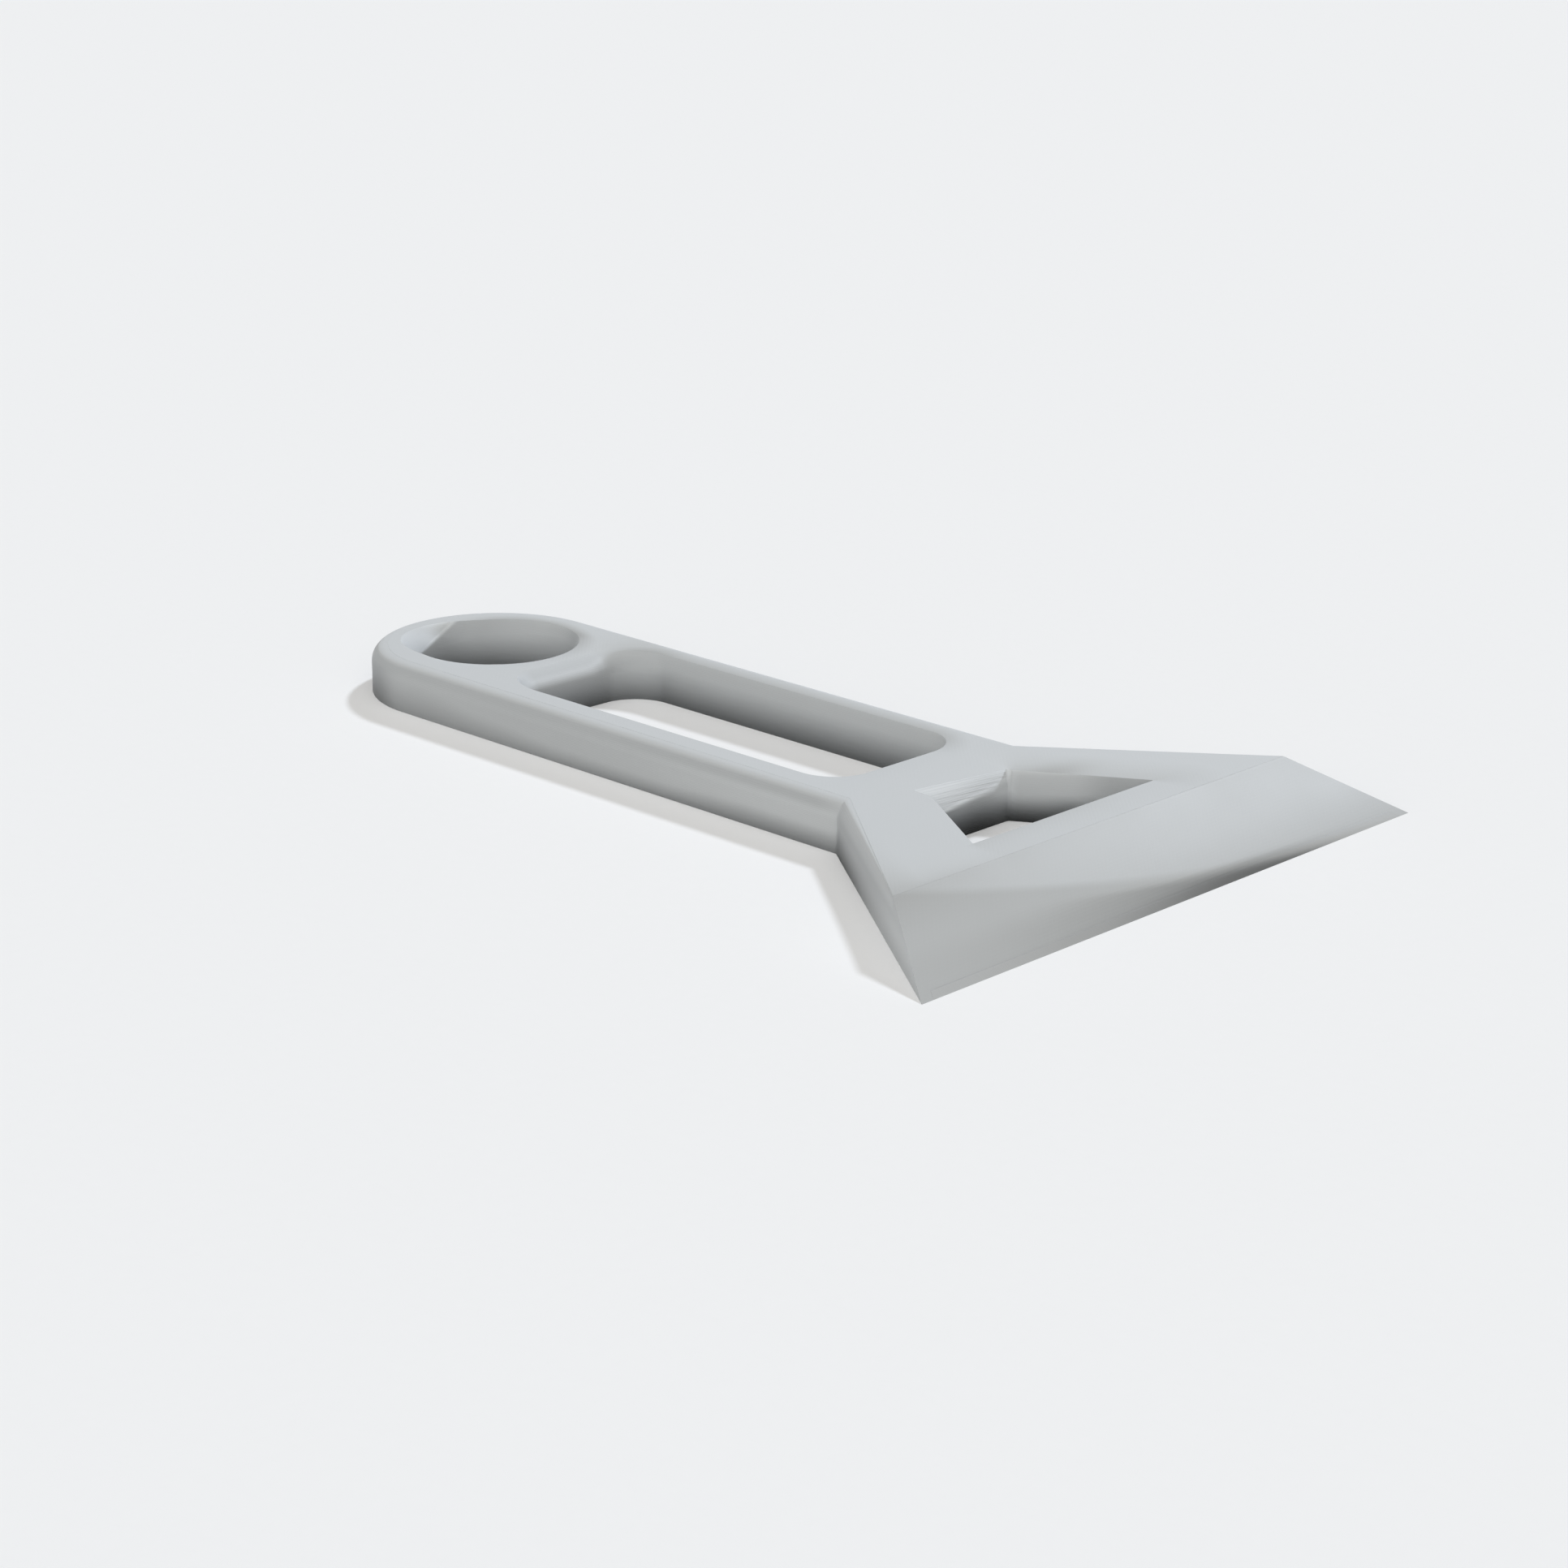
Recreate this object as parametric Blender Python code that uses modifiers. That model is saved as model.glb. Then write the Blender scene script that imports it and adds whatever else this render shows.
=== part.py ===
"""A bed scraper for a desktop printer: a printed body with a steel blade screwed under its nose.

Metres, +Z up. The scraper lies flat on the ground with its handle towards -X and its cutting
edge towards +X. The origin is on the ground, under the middle of the whole tool. A "reach" is
a distance along the tool from the centre of the hang hole.
"""
import math

import bmesh
import bpy

# Printed body
HANDLE_WIDTH = 0.0300
BODY_THICKNESS = 0.0058
TOP_ROUNDING = 0.0020
RING_WALL = 0.0050
RAIL_WIDTH = 0.00465
HOLE_TO_SLOT = 0.0042
SLOT_LENGTH = 0.0526
SLOT_CORNER_RADIUS = 0.0050
SLOT_TO_NECK = 0.0046
NECK_TO_WINDOW = 0.0056
WINDOW_LENGTH = 0.0131
WINDOW_BACK_WIDTH = 0.0128
WINDOW_FRONT_WIDTH = 0.0295
WINDOW_TO_FOLD = 0.0047
NOSE_LENGTH = 0.0113
EDGE_WIDTH = 0.0804

# Steel blade and its seat under the nose
BLADE_THICKNESS = 0.0005
SEAT_BACK_RIM = 0.0008
CHEEK_WIDTH = 0.0016

# Countersunk screws, head down, and the threaded inserts that hold them
SCREW_DIAMETER = 0.0025
SCREW_LENGTH = 0.0030
SCREW_TIP_CHAMFER = 0.0003
HEAD_DIAMETER = 0.0047
HEAD_RIM_HEIGHT = 0.0001
HEAD_RECESS = 0.0001
SOCKET_WIDTH = 0.0015
SOCKET_DEPTH = 0.0008
SCREW_TO_BLADE_BACK = 0.0008
SCREW_TO_BLADE_SIDE = 0.0033
INSERT_DIAMETER = 0.0036
INSERT_LENGTH = 0.0025
INSERT_GROOVE_WIDTH = 0.0006
INSERT_GROOVE_DEPTH = 0.0002

# Room between pieces that meet, and how far a cut runs past the surface it opens
SEAT_GAP = 0.0003
CUT_OVERRUN = 0.0020

# Counts
END_STEPS = 48
ROUNDING_STEPS = 6
HOLE_STEPS = 64
CORNER_STEPS = 8
TURNED_STEPS = 32

# Places that follow from the sizes above
HOLE_RADIUS = HANDLE_WIDTH / 2 - RING_WALL
SLOT_START = HOLE_RADIUS + HOLE_TO_SLOT
SLOT_END = SLOT_START + SLOT_LENGTH
SLOT_HALF_WIDTH = HANDLE_WIDTH / 2 - RAIL_WIDTH
NECK_REACH = SLOT_END + SLOT_TO_NECK
WINDOW_START = NECK_REACH + NECK_TO_WINDOW
WINDOW_END = WINDOW_START + WINDOW_LENGTH
FOLD_REACH = WINDOW_END + WINDOW_TO_FOLD
EDGE_REACH = FOLD_REACH + NOSE_LENGTH
MIDDLE_REACH = (EDGE_REACH - HANDLE_WIDTH / 2) / 2
FLARE_SLOPE = (EDGE_WIDTH - HANDLE_WIDTH) / 2 / (EDGE_REACH - NECK_REACH)

SEAT_BACK = WINDOW_END + SEAT_BACK_RIM
SEAT_CEILING = BLADE_THICKNESS + SEAT_GAP
BLADE_BACK = SEAT_BACK + SEAT_GAP

HEAD_RADIUS = HEAD_DIAMETER / 2
SHANK_RADIUS = SCREW_DIAMETER / 2
HEAD_RIM_TOP = HEAD_RECESS + HEAD_RIM_HEIGHT
HEAD_CONE_TOP = HEAD_RIM_TOP + HEAD_RADIUS - SHANK_RADIUS
SCREW_TIP = HEAD_RECESS + SCREW_LENGTH
SCREW_REACH = BLADE_BACK + SCREW_TO_BLADE_BACK + SEAT_GAP + HEAD_RADIUS
INSERT_BOTTOM = HEAD_CONE_TOP + SEAT_GAP
INSERT_TOP = INSERT_BOTTOM + INSERT_LENGTH
INSERT_RADIUS = INSERT_DIAMETER / 2
INSERT_BORE_RADIUS = SHANK_RADIUS + SEAT_GAP

# Distance below which two corners of a mesh are one
WELD_DISTANCE = 0.000001


def clear_scene():
    for item in list(bpy.data.objects):
        bpy.data.objects.remove(item, do_unlink=True)


def new_collection(name):
    collection = bpy.data.collections.new(name)
    bpy.context.scene.collection.children.link(collection)
    return collection


def new_material(name, colour, roughness, metallic):
    material = bpy.data.materials.new(name)
    material.use_nodes = True
    shader = material.node_tree.nodes["Principled BSDF"]
    shader.inputs["Base Color"].default_value = (*colour, 1)
    shader.inputs["Roughness"].default_value = roughness
    shader.inputs["Metallic"].default_value = metallic
    return material


def along(reach):
    """The X of a place given by its reach from the hang hole."""
    return reach - MIDDLE_REACH


def flare_half_width(reach):
    return HANDLE_WIDTH / 2 + FLARE_SLOPE * (reach - NECK_REACH)


def blade_half_width(reach):
    return flare_half_width(reach) - CHEEK_WIDTH - SEAT_GAP


def nose_reach(height):
    """How far the sloping nose reaches at a height: the whole way on the ground."""
    return EDGE_REACH - NOSE_LENGTH * height / BODY_THICKNESS


def as_object(name, mesh_source, collection):
    mesh = bpy.data.meshes.new(name)
    mesh_source.to_mesh(mesh)
    mesh_source.free()
    item = bpy.data.objects.new(name, mesh)
    collection.objects.link(item)
    return item


def loft(name, rings, collection):
    """A closed solid through rings of equally many points, listed from the lowest up."""
    shape = bmesh.new()
    levels = [[shape.verts.new(point) for point in ring] for ring in rings]
    count = len(levels[0])
    for lower, upper in zip(levels, levels[1:]):
        for index in range(count):
            after = (index + 1) % count
            shape.faces.new((lower[index], lower[after], upper[after], upper[index]))
    shape.faces.new(list(reversed(levels[0])))
    shape.faces.new(levels[-1])
    bmesh.ops.triangulate(shape, faces=[face for face in shape.faces if len(face.verts) == 4])
    bmesh.ops.recalc_face_normals(shape, faces=shape.faces[:])
    return as_object(name, shape, collection)


def plate(name, outline, bottom, top, collection):
    """An upright solid with a flat outline, from a filled curve that is made a mesh."""
    curve = bpy.data.curves.new(name, "CURVE")
    curve.dimensions = "2D"
    curve.fill_mode = "BOTH"
    curve.extrude = (top - bottom) / 2
    spline = curve.splines.new("POLY")
    spline.points.add(len(outline) - 1)
    for point, (x, y) in zip(spline.points, outline):
        point.co = (x, y, 0, 1)
    spline.use_cyclic_u = True
    drawn = bpy.data.objects.new(name + "_outline", curve)
    drawn.location.z = (top + bottom) / 2
    collection.objects.link(drawn)
    bpy.context.view_layer.update()

    depsgraph = bpy.context.evaluated_depsgraph_get()
    mesh = bpy.data.meshes.new_from_object(drawn.evaluated_get(depsgraph))
    shape = bmesh.new()
    shape.from_mesh(mesh)
    bmesh.ops.remove_doubles(shape, verts=shape.verts[:], dist=WELD_DISTANCE)
    bmesh.ops.recalc_face_normals(shape, faces=shape.faces[:])
    item = as_object(name, shape, collection)
    item.matrix_world = drawn.matrix_world
    bpy.data.objects.remove(drawn, do_unlink=True)
    return item


def turned(name, profile, closed, collection):
    """A turned solid about its own Z axis. The profile runs down its outer side."""
    mesh = bpy.data.meshes.new(name)
    edges = [(index, index + 1) for index in range(len(profile) - 1)]
    if closed:
        edges.append((len(profile) - 1, 0))
    mesh.from_pydata([(radius, 0, height) for radius, height in profile], edges, [])
    item = bpy.data.objects.new(name, mesh)
    collection.objects.link(item)
    screw = item.modifiers.new("turn", "SCREW")
    screw.steps = screw.render_steps = TURNED_STEPS
    screw.use_merge_vertices = True
    screw.merge_threshold = WELD_DISTANCE
    screw.use_smooth_shade = False
    return item


def as_cutter(item):
    item.hide_render = True
    item.display_type = "WIRE"
    return item


def cut(item, cutter):
    boolean = item.modifiers.new("cut_" + cutter.name, "BOOLEAN")
    boolean.operation = "DIFFERENCE"
    boolean.solver = "EXACT"
    boolean.object = cutter


def body_ring(height, inset):
    """The body's outline at one height. Its inset fades out along the flares to the fold."""
    half_width = HANDLE_WIDTH / 2 - inset
    ring = []
    for step in range(END_STEPS + 1):
        turn = math.pi / 2 + math.pi * step / END_STEPS
        ring.append((along(half_width * math.cos(turn)), half_width * math.sin(turn), height))
    front = nose_reach(height)
    ring.append((along(NECK_REACH), -half_width, height))
    ring.append((along(front), -flare_half_width(front), height))
    ring.append((along(front), flare_half_width(front), height))
    ring.append((along(NECK_REACH), half_width, height))
    return ring


def slot_outline():
    """The handle's slot: a rectangle with round corners, listed counterclockwise."""
    radius = SLOT_CORNER_RADIUS
    start = SLOT_START + radius
    end = SLOT_END - radius
    side = SLOT_HALF_WIDTH - radius
    outline = []
    for quarter, (reach, y) in enumerate([(end, side), (start, side), (start, -side), (end, -side)]):
        for step in range(CORNER_STEPS + 1):
            turn = math.pi / 2 * (quarter + step / CORNER_STEPS)
            outline.append((along(reach + radius * math.cos(turn)), y + radius * math.sin(turn)))
    return outline


def window_outline():
    back = WINDOW_BACK_WIDTH / 2
    front = WINDOW_FRONT_WIDTH / 2
    return [(along(WINDOW_START), -back), (along(WINDOW_END), -front),
            (along(WINDOW_END), front), (along(WINDOW_START), back)]


def seat_outline():
    """The blade's seat, open at the front, with a printed cheek left beside each end."""
    front = EDGE_REACH + CUT_OVERRUN
    return [(along(SEAT_BACK), CHEEK_WIDTH - flare_half_width(SEAT_BACK)),
            (along(front), CHEEK_WIDTH - flare_half_width(front)),
            (along(front), flare_half_width(front) - CHEEK_WIDTH),
            (along(SEAT_BACK), flare_half_width(SEAT_BACK) - CHEEK_WIDTH)]


def make_body(parts, cutters):
    rings = [body_ring(0, 0)]
    for step in range(ROUNDING_STEPS + 1):
        turn = math.pi / 2 * step / ROUNDING_STEPS
        height = BODY_THICKNESS - TOP_ROUNDING * (1 - math.sin(turn))
        rings.append(body_ring(height, TOP_ROUNDING * (1 - math.cos(turn))))
    body = loft("scraper_body", rings, parts)

    below = -CUT_OVERRUN
    above = BODY_THICKNESS + CUT_OVERRUN
    hole_outline = []
    for step in range(HOLE_STEPS):
        turn = 2 * math.pi * step / HOLE_STEPS
        hole_outline.append((along(HOLE_RADIUS * math.cos(turn)), HOLE_RADIUS * math.sin(turn)))
    cut(body, as_cutter(plate("hang_hole_cut", hole_outline, below, above, cutters)))
    cut(body, as_cutter(plate("slot_cut", slot_outline(), below, above, cutters)))
    cut(body, as_cutter(plate("window_cut", window_outline(), below, above, cutters)))
    cut(body, as_cutter(plate("seat_cut", seat_outline(), below, SEAT_CEILING, cutters)))
    return body


def blade_ring(height):
    """The blade's outline at one height. Its ground face goes on down the nose's slope."""
    front = nose_reach(height)
    return [(along(BLADE_BACK), -blade_half_width(BLADE_BACK), height),
            (along(front), -blade_half_width(front), height),
            (along(front), blade_half_width(front), height),
            (along(BLADE_BACK), blade_half_width(BLADE_BACK), height)]


def screw_profile():
    return [(0, SCREW_TIP), (SHANK_RADIUS - SCREW_TIP_CHAMFER, SCREW_TIP),
            (SHANK_RADIUS, SCREW_TIP - SCREW_TIP_CHAMFER), (SHANK_RADIUS, HEAD_CONE_TOP),
            (HEAD_RADIUS, HEAD_RIM_TOP), (HEAD_RADIUS, HEAD_RECESS), (0, HEAD_RECESS)]


def screw_room_profile():
    """The space that a screw needs, the same all round it, open downwards."""
    shank = SHANK_RADIUS + SEAT_GAP
    head = HEAD_RADIUS + SEAT_GAP
    top = SCREW_TIP + SEAT_GAP
    return [(0, top), (shank, top), (shank, HEAD_CONE_TOP), (head, HEAD_RIM_TOP),
            (head, -CUT_OVERRUN), (0, -CUT_OVERRUN)]


def insert_profile():
    """A ring with one groove round the middle of its outer side."""
    waist = INSERT_RADIUS - INSERT_GROOVE_DEPTH
    middle = (INSERT_TOP + INSERT_BOTTOM) / 2
    groove_top = middle + INSERT_GROOVE_WIDTH / 2
    groove_bottom = middle - INSERT_GROOVE_WIDTH / 2
    return [(INSERT_RADIUS, INSERT_TOP), (INSERT_RADIUS, groove_top), (waist, groove_top),
            (waist, groove_bottom), (INSERT_RADIUS, groove_bottom), (INSERT_RADIUS, INSERT_BOTTOM),
            (INSERT_BORE_RADIUS, INSERT_BOTTOM), (INSERT_BORE_RADIUS, INSERT_TOP)]


def insert_room_profile():
    radius = INSERT_RADIUS + SEAT_GAP
    top = INSERT_TOP + SEAT_GAP
    return [(0, top), (radius, top), (radius, INSERT_BOTTOM - SEAT_GAP), (0, INSERT_BOTTOM - SEAT_GAP)]


def make_socket_cutter(side, cutters):
    """A six-sided key socket in the screw's head."""
    depth = SOCKET_DEPTH + CUT_OVERRUN
    shape = bmesh.new()
    corner_radius = SOCKET_WIDTH / 2 / math.cos(math.pi / 6)
    bmesh.ops.create_cone(shape, cap_ends=True, segments=6, radius1=corner_radius,
                          radius2=corner_radius, depth=depth)
    socket = as_object("socket_cut_" + side, shape, cutters)
    socket.location.z = HEAD_RECESS + SOCKET_DEPTH - depth / 2
    return as_cutter(socket)


def make_fastening(side, y, body, blade, parts, cutters):
    """One screw, its insert, and the room for both in the body and the blade."""
    screw = turned("blade_screw_" + side, screw_profile(), False, parts)
    insert = turned("threaded_insert_" + side, insert_profile(), True, parts)
    screw_room = as_cutter(turned("screw_room_" + side, screw_room_profile(), False, cutters))
    insert_room = as_cutter(turned("insert_room_" + side, insert_room_profile(), False, cutters))
    socket = make_socket_cutter(side, cutters)
    for item in (screw, insert, screw_room, insert_room, socket):
        item.location.x = along(SCREW_REACH)
        item.location.y = y
    cut(screw, socket)
    cut(blade, screw_room)
    cut(body, screw_room)
    cut(body, insert_room)
    return screw, insert


def main():
    clear_scene()
    parts = new_collection("printer_bed_scraper")
    cutters = new_collection("cutters")
    plastic = new_material("light grey printed plastic", (0.58, 0.60, 0.63), 0.62, 0)
    steel = new_material("ground spring steel", (0.56, 0.57, 0.58), 0.34, 1)
    screw_steel = new_material("screw steel", (0.42, 0.42, 0.43), 0.30, 1)
    brass = new_material("insert brass", (0.72, 0.53, 0.23), 0.32, 1)

    body = make_body(parts, cutters)
    body.data.materials.append(plastic)
    blade = loft("scraper_blade", [blade_ring(0), blade_ring(BLADE_THICKNESS)], parts)
    blade.data.materials.append(steel)
    side_screw = blade_half_width(SCREW_REACH) - SCREW_TO_BLADE_SIDE - SEAT_GAP - HEAD_RADIUS
    for side, y in {"left": side_screw, "middle": 0, "right": -side_screw}.items():
        screw, insert = make_fastening(side, y, body, blade, parts, cutters)
        screw.data.materials.append(screw_steel)
        insert.data.materials.append(brass)


main()
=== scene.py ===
"""The looks of a bed scraper for a desktop printer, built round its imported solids.

Metres, +Z up, in the solids' own frame: the handle points to -X and the cutting edge to +X.
"""
import math

import bmesh
import bpy
from mathutils import Matrix, Vector


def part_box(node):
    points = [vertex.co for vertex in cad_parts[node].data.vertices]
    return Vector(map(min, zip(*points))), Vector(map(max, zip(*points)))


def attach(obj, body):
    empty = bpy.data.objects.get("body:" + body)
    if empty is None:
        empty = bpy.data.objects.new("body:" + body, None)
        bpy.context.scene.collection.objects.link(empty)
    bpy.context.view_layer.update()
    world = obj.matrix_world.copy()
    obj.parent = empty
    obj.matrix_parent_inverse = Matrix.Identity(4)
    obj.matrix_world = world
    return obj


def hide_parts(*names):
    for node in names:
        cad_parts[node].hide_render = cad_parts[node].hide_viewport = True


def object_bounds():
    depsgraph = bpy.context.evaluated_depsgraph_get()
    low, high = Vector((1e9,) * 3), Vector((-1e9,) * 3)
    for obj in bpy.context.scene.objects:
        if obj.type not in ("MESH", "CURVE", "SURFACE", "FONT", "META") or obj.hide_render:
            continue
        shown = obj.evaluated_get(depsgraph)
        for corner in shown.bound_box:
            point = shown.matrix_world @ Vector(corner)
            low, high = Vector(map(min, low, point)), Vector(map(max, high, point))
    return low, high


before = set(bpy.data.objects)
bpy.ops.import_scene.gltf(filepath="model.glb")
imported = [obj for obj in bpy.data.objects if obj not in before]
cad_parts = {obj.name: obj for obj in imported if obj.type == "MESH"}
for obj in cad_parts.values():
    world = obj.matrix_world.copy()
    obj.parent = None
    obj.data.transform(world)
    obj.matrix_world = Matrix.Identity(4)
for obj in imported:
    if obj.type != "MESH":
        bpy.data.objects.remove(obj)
SOLID_LOW, SOLID_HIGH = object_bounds()
bpy.ops.object.select_all(action="DESELECT")

# Printed body
HANDLE_WIDTH = 0.0300
TOP_ROUNDING = 0.0020
RING_WALL = 0.0050
RAIL_WIDTH = 0.00465
HOLE_TO_SLOT = 0.0042
SLOT_LENGTH = 0.0526
SLOT_CORNER_RADIUS = 0.0050
SLOT_TO_NECK = 0.0046
NECK_TO_WINDOW = 0.0056
WINDOW_LENGTH = 0.0131
WINDOW_BACK_WIDTH = 0.0128
WINDOW_FRONT_WIDTH = 0.0295
WINDOW_CORNER_RADIUS = 0.0003
WINDOW_CORNER_REACH = 0.00012
WINDOW_TO_FOLD = 0.0047
NOSE_LENGTH = 0.0113
FOOT_BREAK = 0.00008

# The openings' top rims: how far down they begin, and how far out they go. They are wide at the
# handle end only, in the hole to the right (-Y), and in the window less and less to the left (+Y).
HOLE_RIM_DEPTH = 0.0027
HOLE_RIM_END = 0.0020
HOLE_RIM_LEFT = 0.0005
SLOT_RIM_DEPTH = 0.0025
SLOT_RIM_END = 0.0022
SLOT_RIM_LEFT = 0.0005
WINDOW_RIM_DEPTH = 0.0026
WINDOW_RIM_END_RIGHT = 0.0028
WINDOW_RIM_END_LEFT = 0.0006
WINDOW_RIM_LEFT = 0.0002

# Where the hole's wide rim lies: its middle, and its half angle
HOLE_RIM_WAY = math.radians(205)
HOLE_RIM_SPAN = math.radians(55)

# A rim's section: 1 would be a quarter round, and more is closer to a slope with soft ends
RIM_FLATNESS = 1.5

# Blade, its seat and its hairline seam to the body
BLADE_THICKNESS = 0.0005
SEAT_BACK_RIM = 0.0008
CHEEK_WIDTH = 0.0016
SEAM = 0.00001
BLADE_BREAK = 0.00005

# Screws and inserts
SCREW_DIAMETER = 0.0025
HEAD_DIAMETER = 0.0047
HEAD_RIM_HEIGHT = 0.0001
SOCKET_SIDES = 6
SOCKET_WIDTH = 0.0015
SOCKET_DEPTH = 0.0008
SOCKET_DRILL_DEPTH = 0.0003
HEAD_BREAK = 0.00006
ROOM_ROUND_SCREW = 0.0001
THREAD_PITCH = 0.00045
THREAD_DEPTH = 0.00020
KNURL_DEPTH = 0.00015
INSERT_GROOVE_WIDTH = 0.0006
INSERT_MOUTH = 0.00015

SIDES = ("left", "middle", "right")

# How far a cutter runs past the surface that it opens, and how close two corners count as one
OVERRUN = 0.0020
TOUCH = 0.00002
MERGE_DISTANCE = 0.000002
LEVEL = 0.999
FLAT_WEIGHT = 100

# Angles in degrees: sharper corners are broken, or stay crisp in a smooth shading
BREAK_ANGLE = 60
BLADE_BREAK_ANGLE = 30
BODY_CRISP_ANGLE = 30
BLADE_CRISP_ANGLE = 25
SCREW_CRISP_ANGLE = 35
INSERT_CRISP_ANGLE = 30

# Steps round curves
OUTLINE_STEPS = 192
ROUNDING_STEPS = 12
HOLE_STEPS = 160
CORNER_STEPS = 24
SMALL_CORNER_STEPS = 8
RIM_STEPS = 8
TURNED_STEPS = 64
KNURL_STEPS = 72
BREAK_STEPS = 2

# Places that follow from the sizes above and from the solids
THICKNESS = SOLID_HIGH.z
EDGE_X = SOLID_HIGH.x
HALF_EDGE = SOLID_HIGH.y
HALF_HANDLE = HANDLE_WIDTH / 2
HOLE_X = SOLID_LOW.x + HALF_HANDLE
HOLE_RADIUS = HALF_HANDLE - RING_WALL
SLOT_START_X = HOLE_X + HOLE_RADIUS + HOLE_TO_SLOT
SLOT_END_X = SLOT_START_X + SLOT_LENGTH
SLOT_HALF_WIDTH = HALF_HANDLE - RAIL_WIDTH
NECK_X = SLOT_END_X + SLOT_TO_NECK
WINDOW_START_X = NECK_X + NECK_TO_WINDOW
WINDOW_END_X = WINDOW_START_X + WINDOW_LENGTH
FOLD_X = WINDOW_END_X + WINDOW_TO_FOLD
FLARE_SLOPE = (HALF_EDGE - HALF_HANDLE) / (EDGE_X - NECK_X)
SEAT_BACK_X = WINDOW_END_X + SEAT_BACK_RIM
SEAT_CEILING = BLADE_THICKNESS + SEAM
BLADE_BACK_X = SEAT_BACK_X + SEAM


def flare_half_width(x):
    return HALF_HANDLE + FLARE_SLOPE * (x - NECK_X)


def blade_half_width(x):
    return flare_half_width(x) - CHEEK_WIDTH - SEAM


def nose_x(height):
    """Where the sloping nose is at a height: at the fold on top, at the edge on the ground."""
    return EDGE_X - NOSE_LENGTH * height / THICKNESS


# Modelling


def select_only(piece):
    bpy.ops.object.select_all(action="DESELECT")
    piece.select_set(True)
    bpy.context.view_layer.objects.active = piece


def start_piece(name):
    """The primitive that was just added becomes a named piece with its place in its mesh."""
    piece = bpy.context.object
    piece.name = name
    piece.data.name = name
    bpy.ops.object.transform_apply(location=True, rotation=True, scale=True)
    return piece


def open_edit(piece):
    select_only(piece)
    bpy.ops.object.mode_set(mode="EDIT")
    bpy.ops.mesh.select_all(action="DESELECT")


def close_edit():
    bpy.ops.mesh.select_all(action="SELECT")
    bpy.ops.mesh.remove_doubles(threshold=MERGE_DISTANCE)
    bpy.ops.mesh.normals_make_consistent(inside=False)
    bpy.ops.object.mode_set(mode="OBJECT")


def pick(kind, test):
    """Selects only the corners (VERT), edges (EDGE) or faces (FACE) that pass a test."""
    bpy.ops.mesh.select_mode(type=kind)
    bpy.ops.mesh.select_all(action="DESELECT")
    mesh = bpy.context.object.data
    shape = bmesh.from_edit_mesh(mesh)
    shape.normal_update()
    for item in {"VERT": shape.verts, "EDGE": shape.edges, "FACE": shape.faces}[kind]:
        if test(item):
            item.select_set(True)
    shape.select_flush_mode()
    bmesh.update_edit_mesh(mesh)


def near(value, target):
    return abs(value - target) < TOUCH


def all_corners(item, test):
    return all(test(corner.co) for corner in item.verts)


def is_sharp(edge, angle):
    return len(edge.link_faces) == 2 and edge.calc_face_angle(0) > math.radians(angle)


def pick_top():
    """Selects a simple shape's upper face."""
    pick("FACE", lambda face: face.normal.z > 0.5)


def lift(rise):
    """Extrudes the selected faces upwards."""
    bpy.ops.mesh.extrude_region_move(TRANSFORM_OT_translate={"value": (0, 0, rise)})


def resize(scale, centre):
    bpy.ops.transform.resize(value=scale, center_override=centre)


def taper(share, x, y):
    """Draws the selection in or out round an upright axis."""
    resize((share, share, 1), (x, y, 0))


def soften(width, steps):
    """Bevels the selected edges."""
    bpy.ops.mesh.bevel(offset=width, offset_type="OFFSET", segments=steps, profile=0.5,
                       affect="EDGES", clamp_overlap=False, loop_slide=False)


def add_cylinder(name, x, y, bottom, top, radius, steps):
    bpy.ops.mesh.primitive_cylinder_add(vertices=steps, radius=radius, depth=top - bottom,
                                        location=(x, y, (top + bottom) / 2))
    return start_piece(name)


def add_block(name, low, high):
    middle = (Vector(low) + Vector(high)) / 2
    bpy.ops.mesh.primitive_cube_add(size=1, location=middle, scale=Vector(high) - Vector(low))
    return start_piece(name)


def apply_modifier(piece, kind, **settings):
    select_only(piece)
    modifier = piece.modifiers.new(kind.lower(), kind)
    for key, value in settings.items():
        setattr(modifier, key, value)
    bpy.ops.object.modifier_apply(modifier=modifier.name)


def cut(piece, cutter):
    apply_modifier(piece, "BOOLEAN", operation="DIFFERENCE", solver="EXACT", object=cutter)
    bpy.data.objects.remove(cutter, do_unlink=True)


def shade(piece, angle):
    """Smooth shading that stays crisp at corners sharper than an angle, with flat faces flat."""
    select_only(piece)
    bpy.ops.object.shade_smooth_by_angle(angle=math.radians(angle))
    apply_modifier(piece, "WEIGHTED_NORMAL", keep_sharp=True, weight=FLAT_WEIGHT)


def copy_to(piece, name, move):
    """A copy of a piece, with a mesh of its own, at another place."""
    select_only(piece)
    bpy.ops.object.duplicate()
    bpy.ops.transform.translate(value=move)
    return start_piece(name)


def dress(piece, material, node):
    """A finished piece takes its material and stands for its solid."""
    piece.data.materials.clear()
    piece.data.materials.append(material)
    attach(piece, "root")
    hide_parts(node)


# Body


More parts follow.
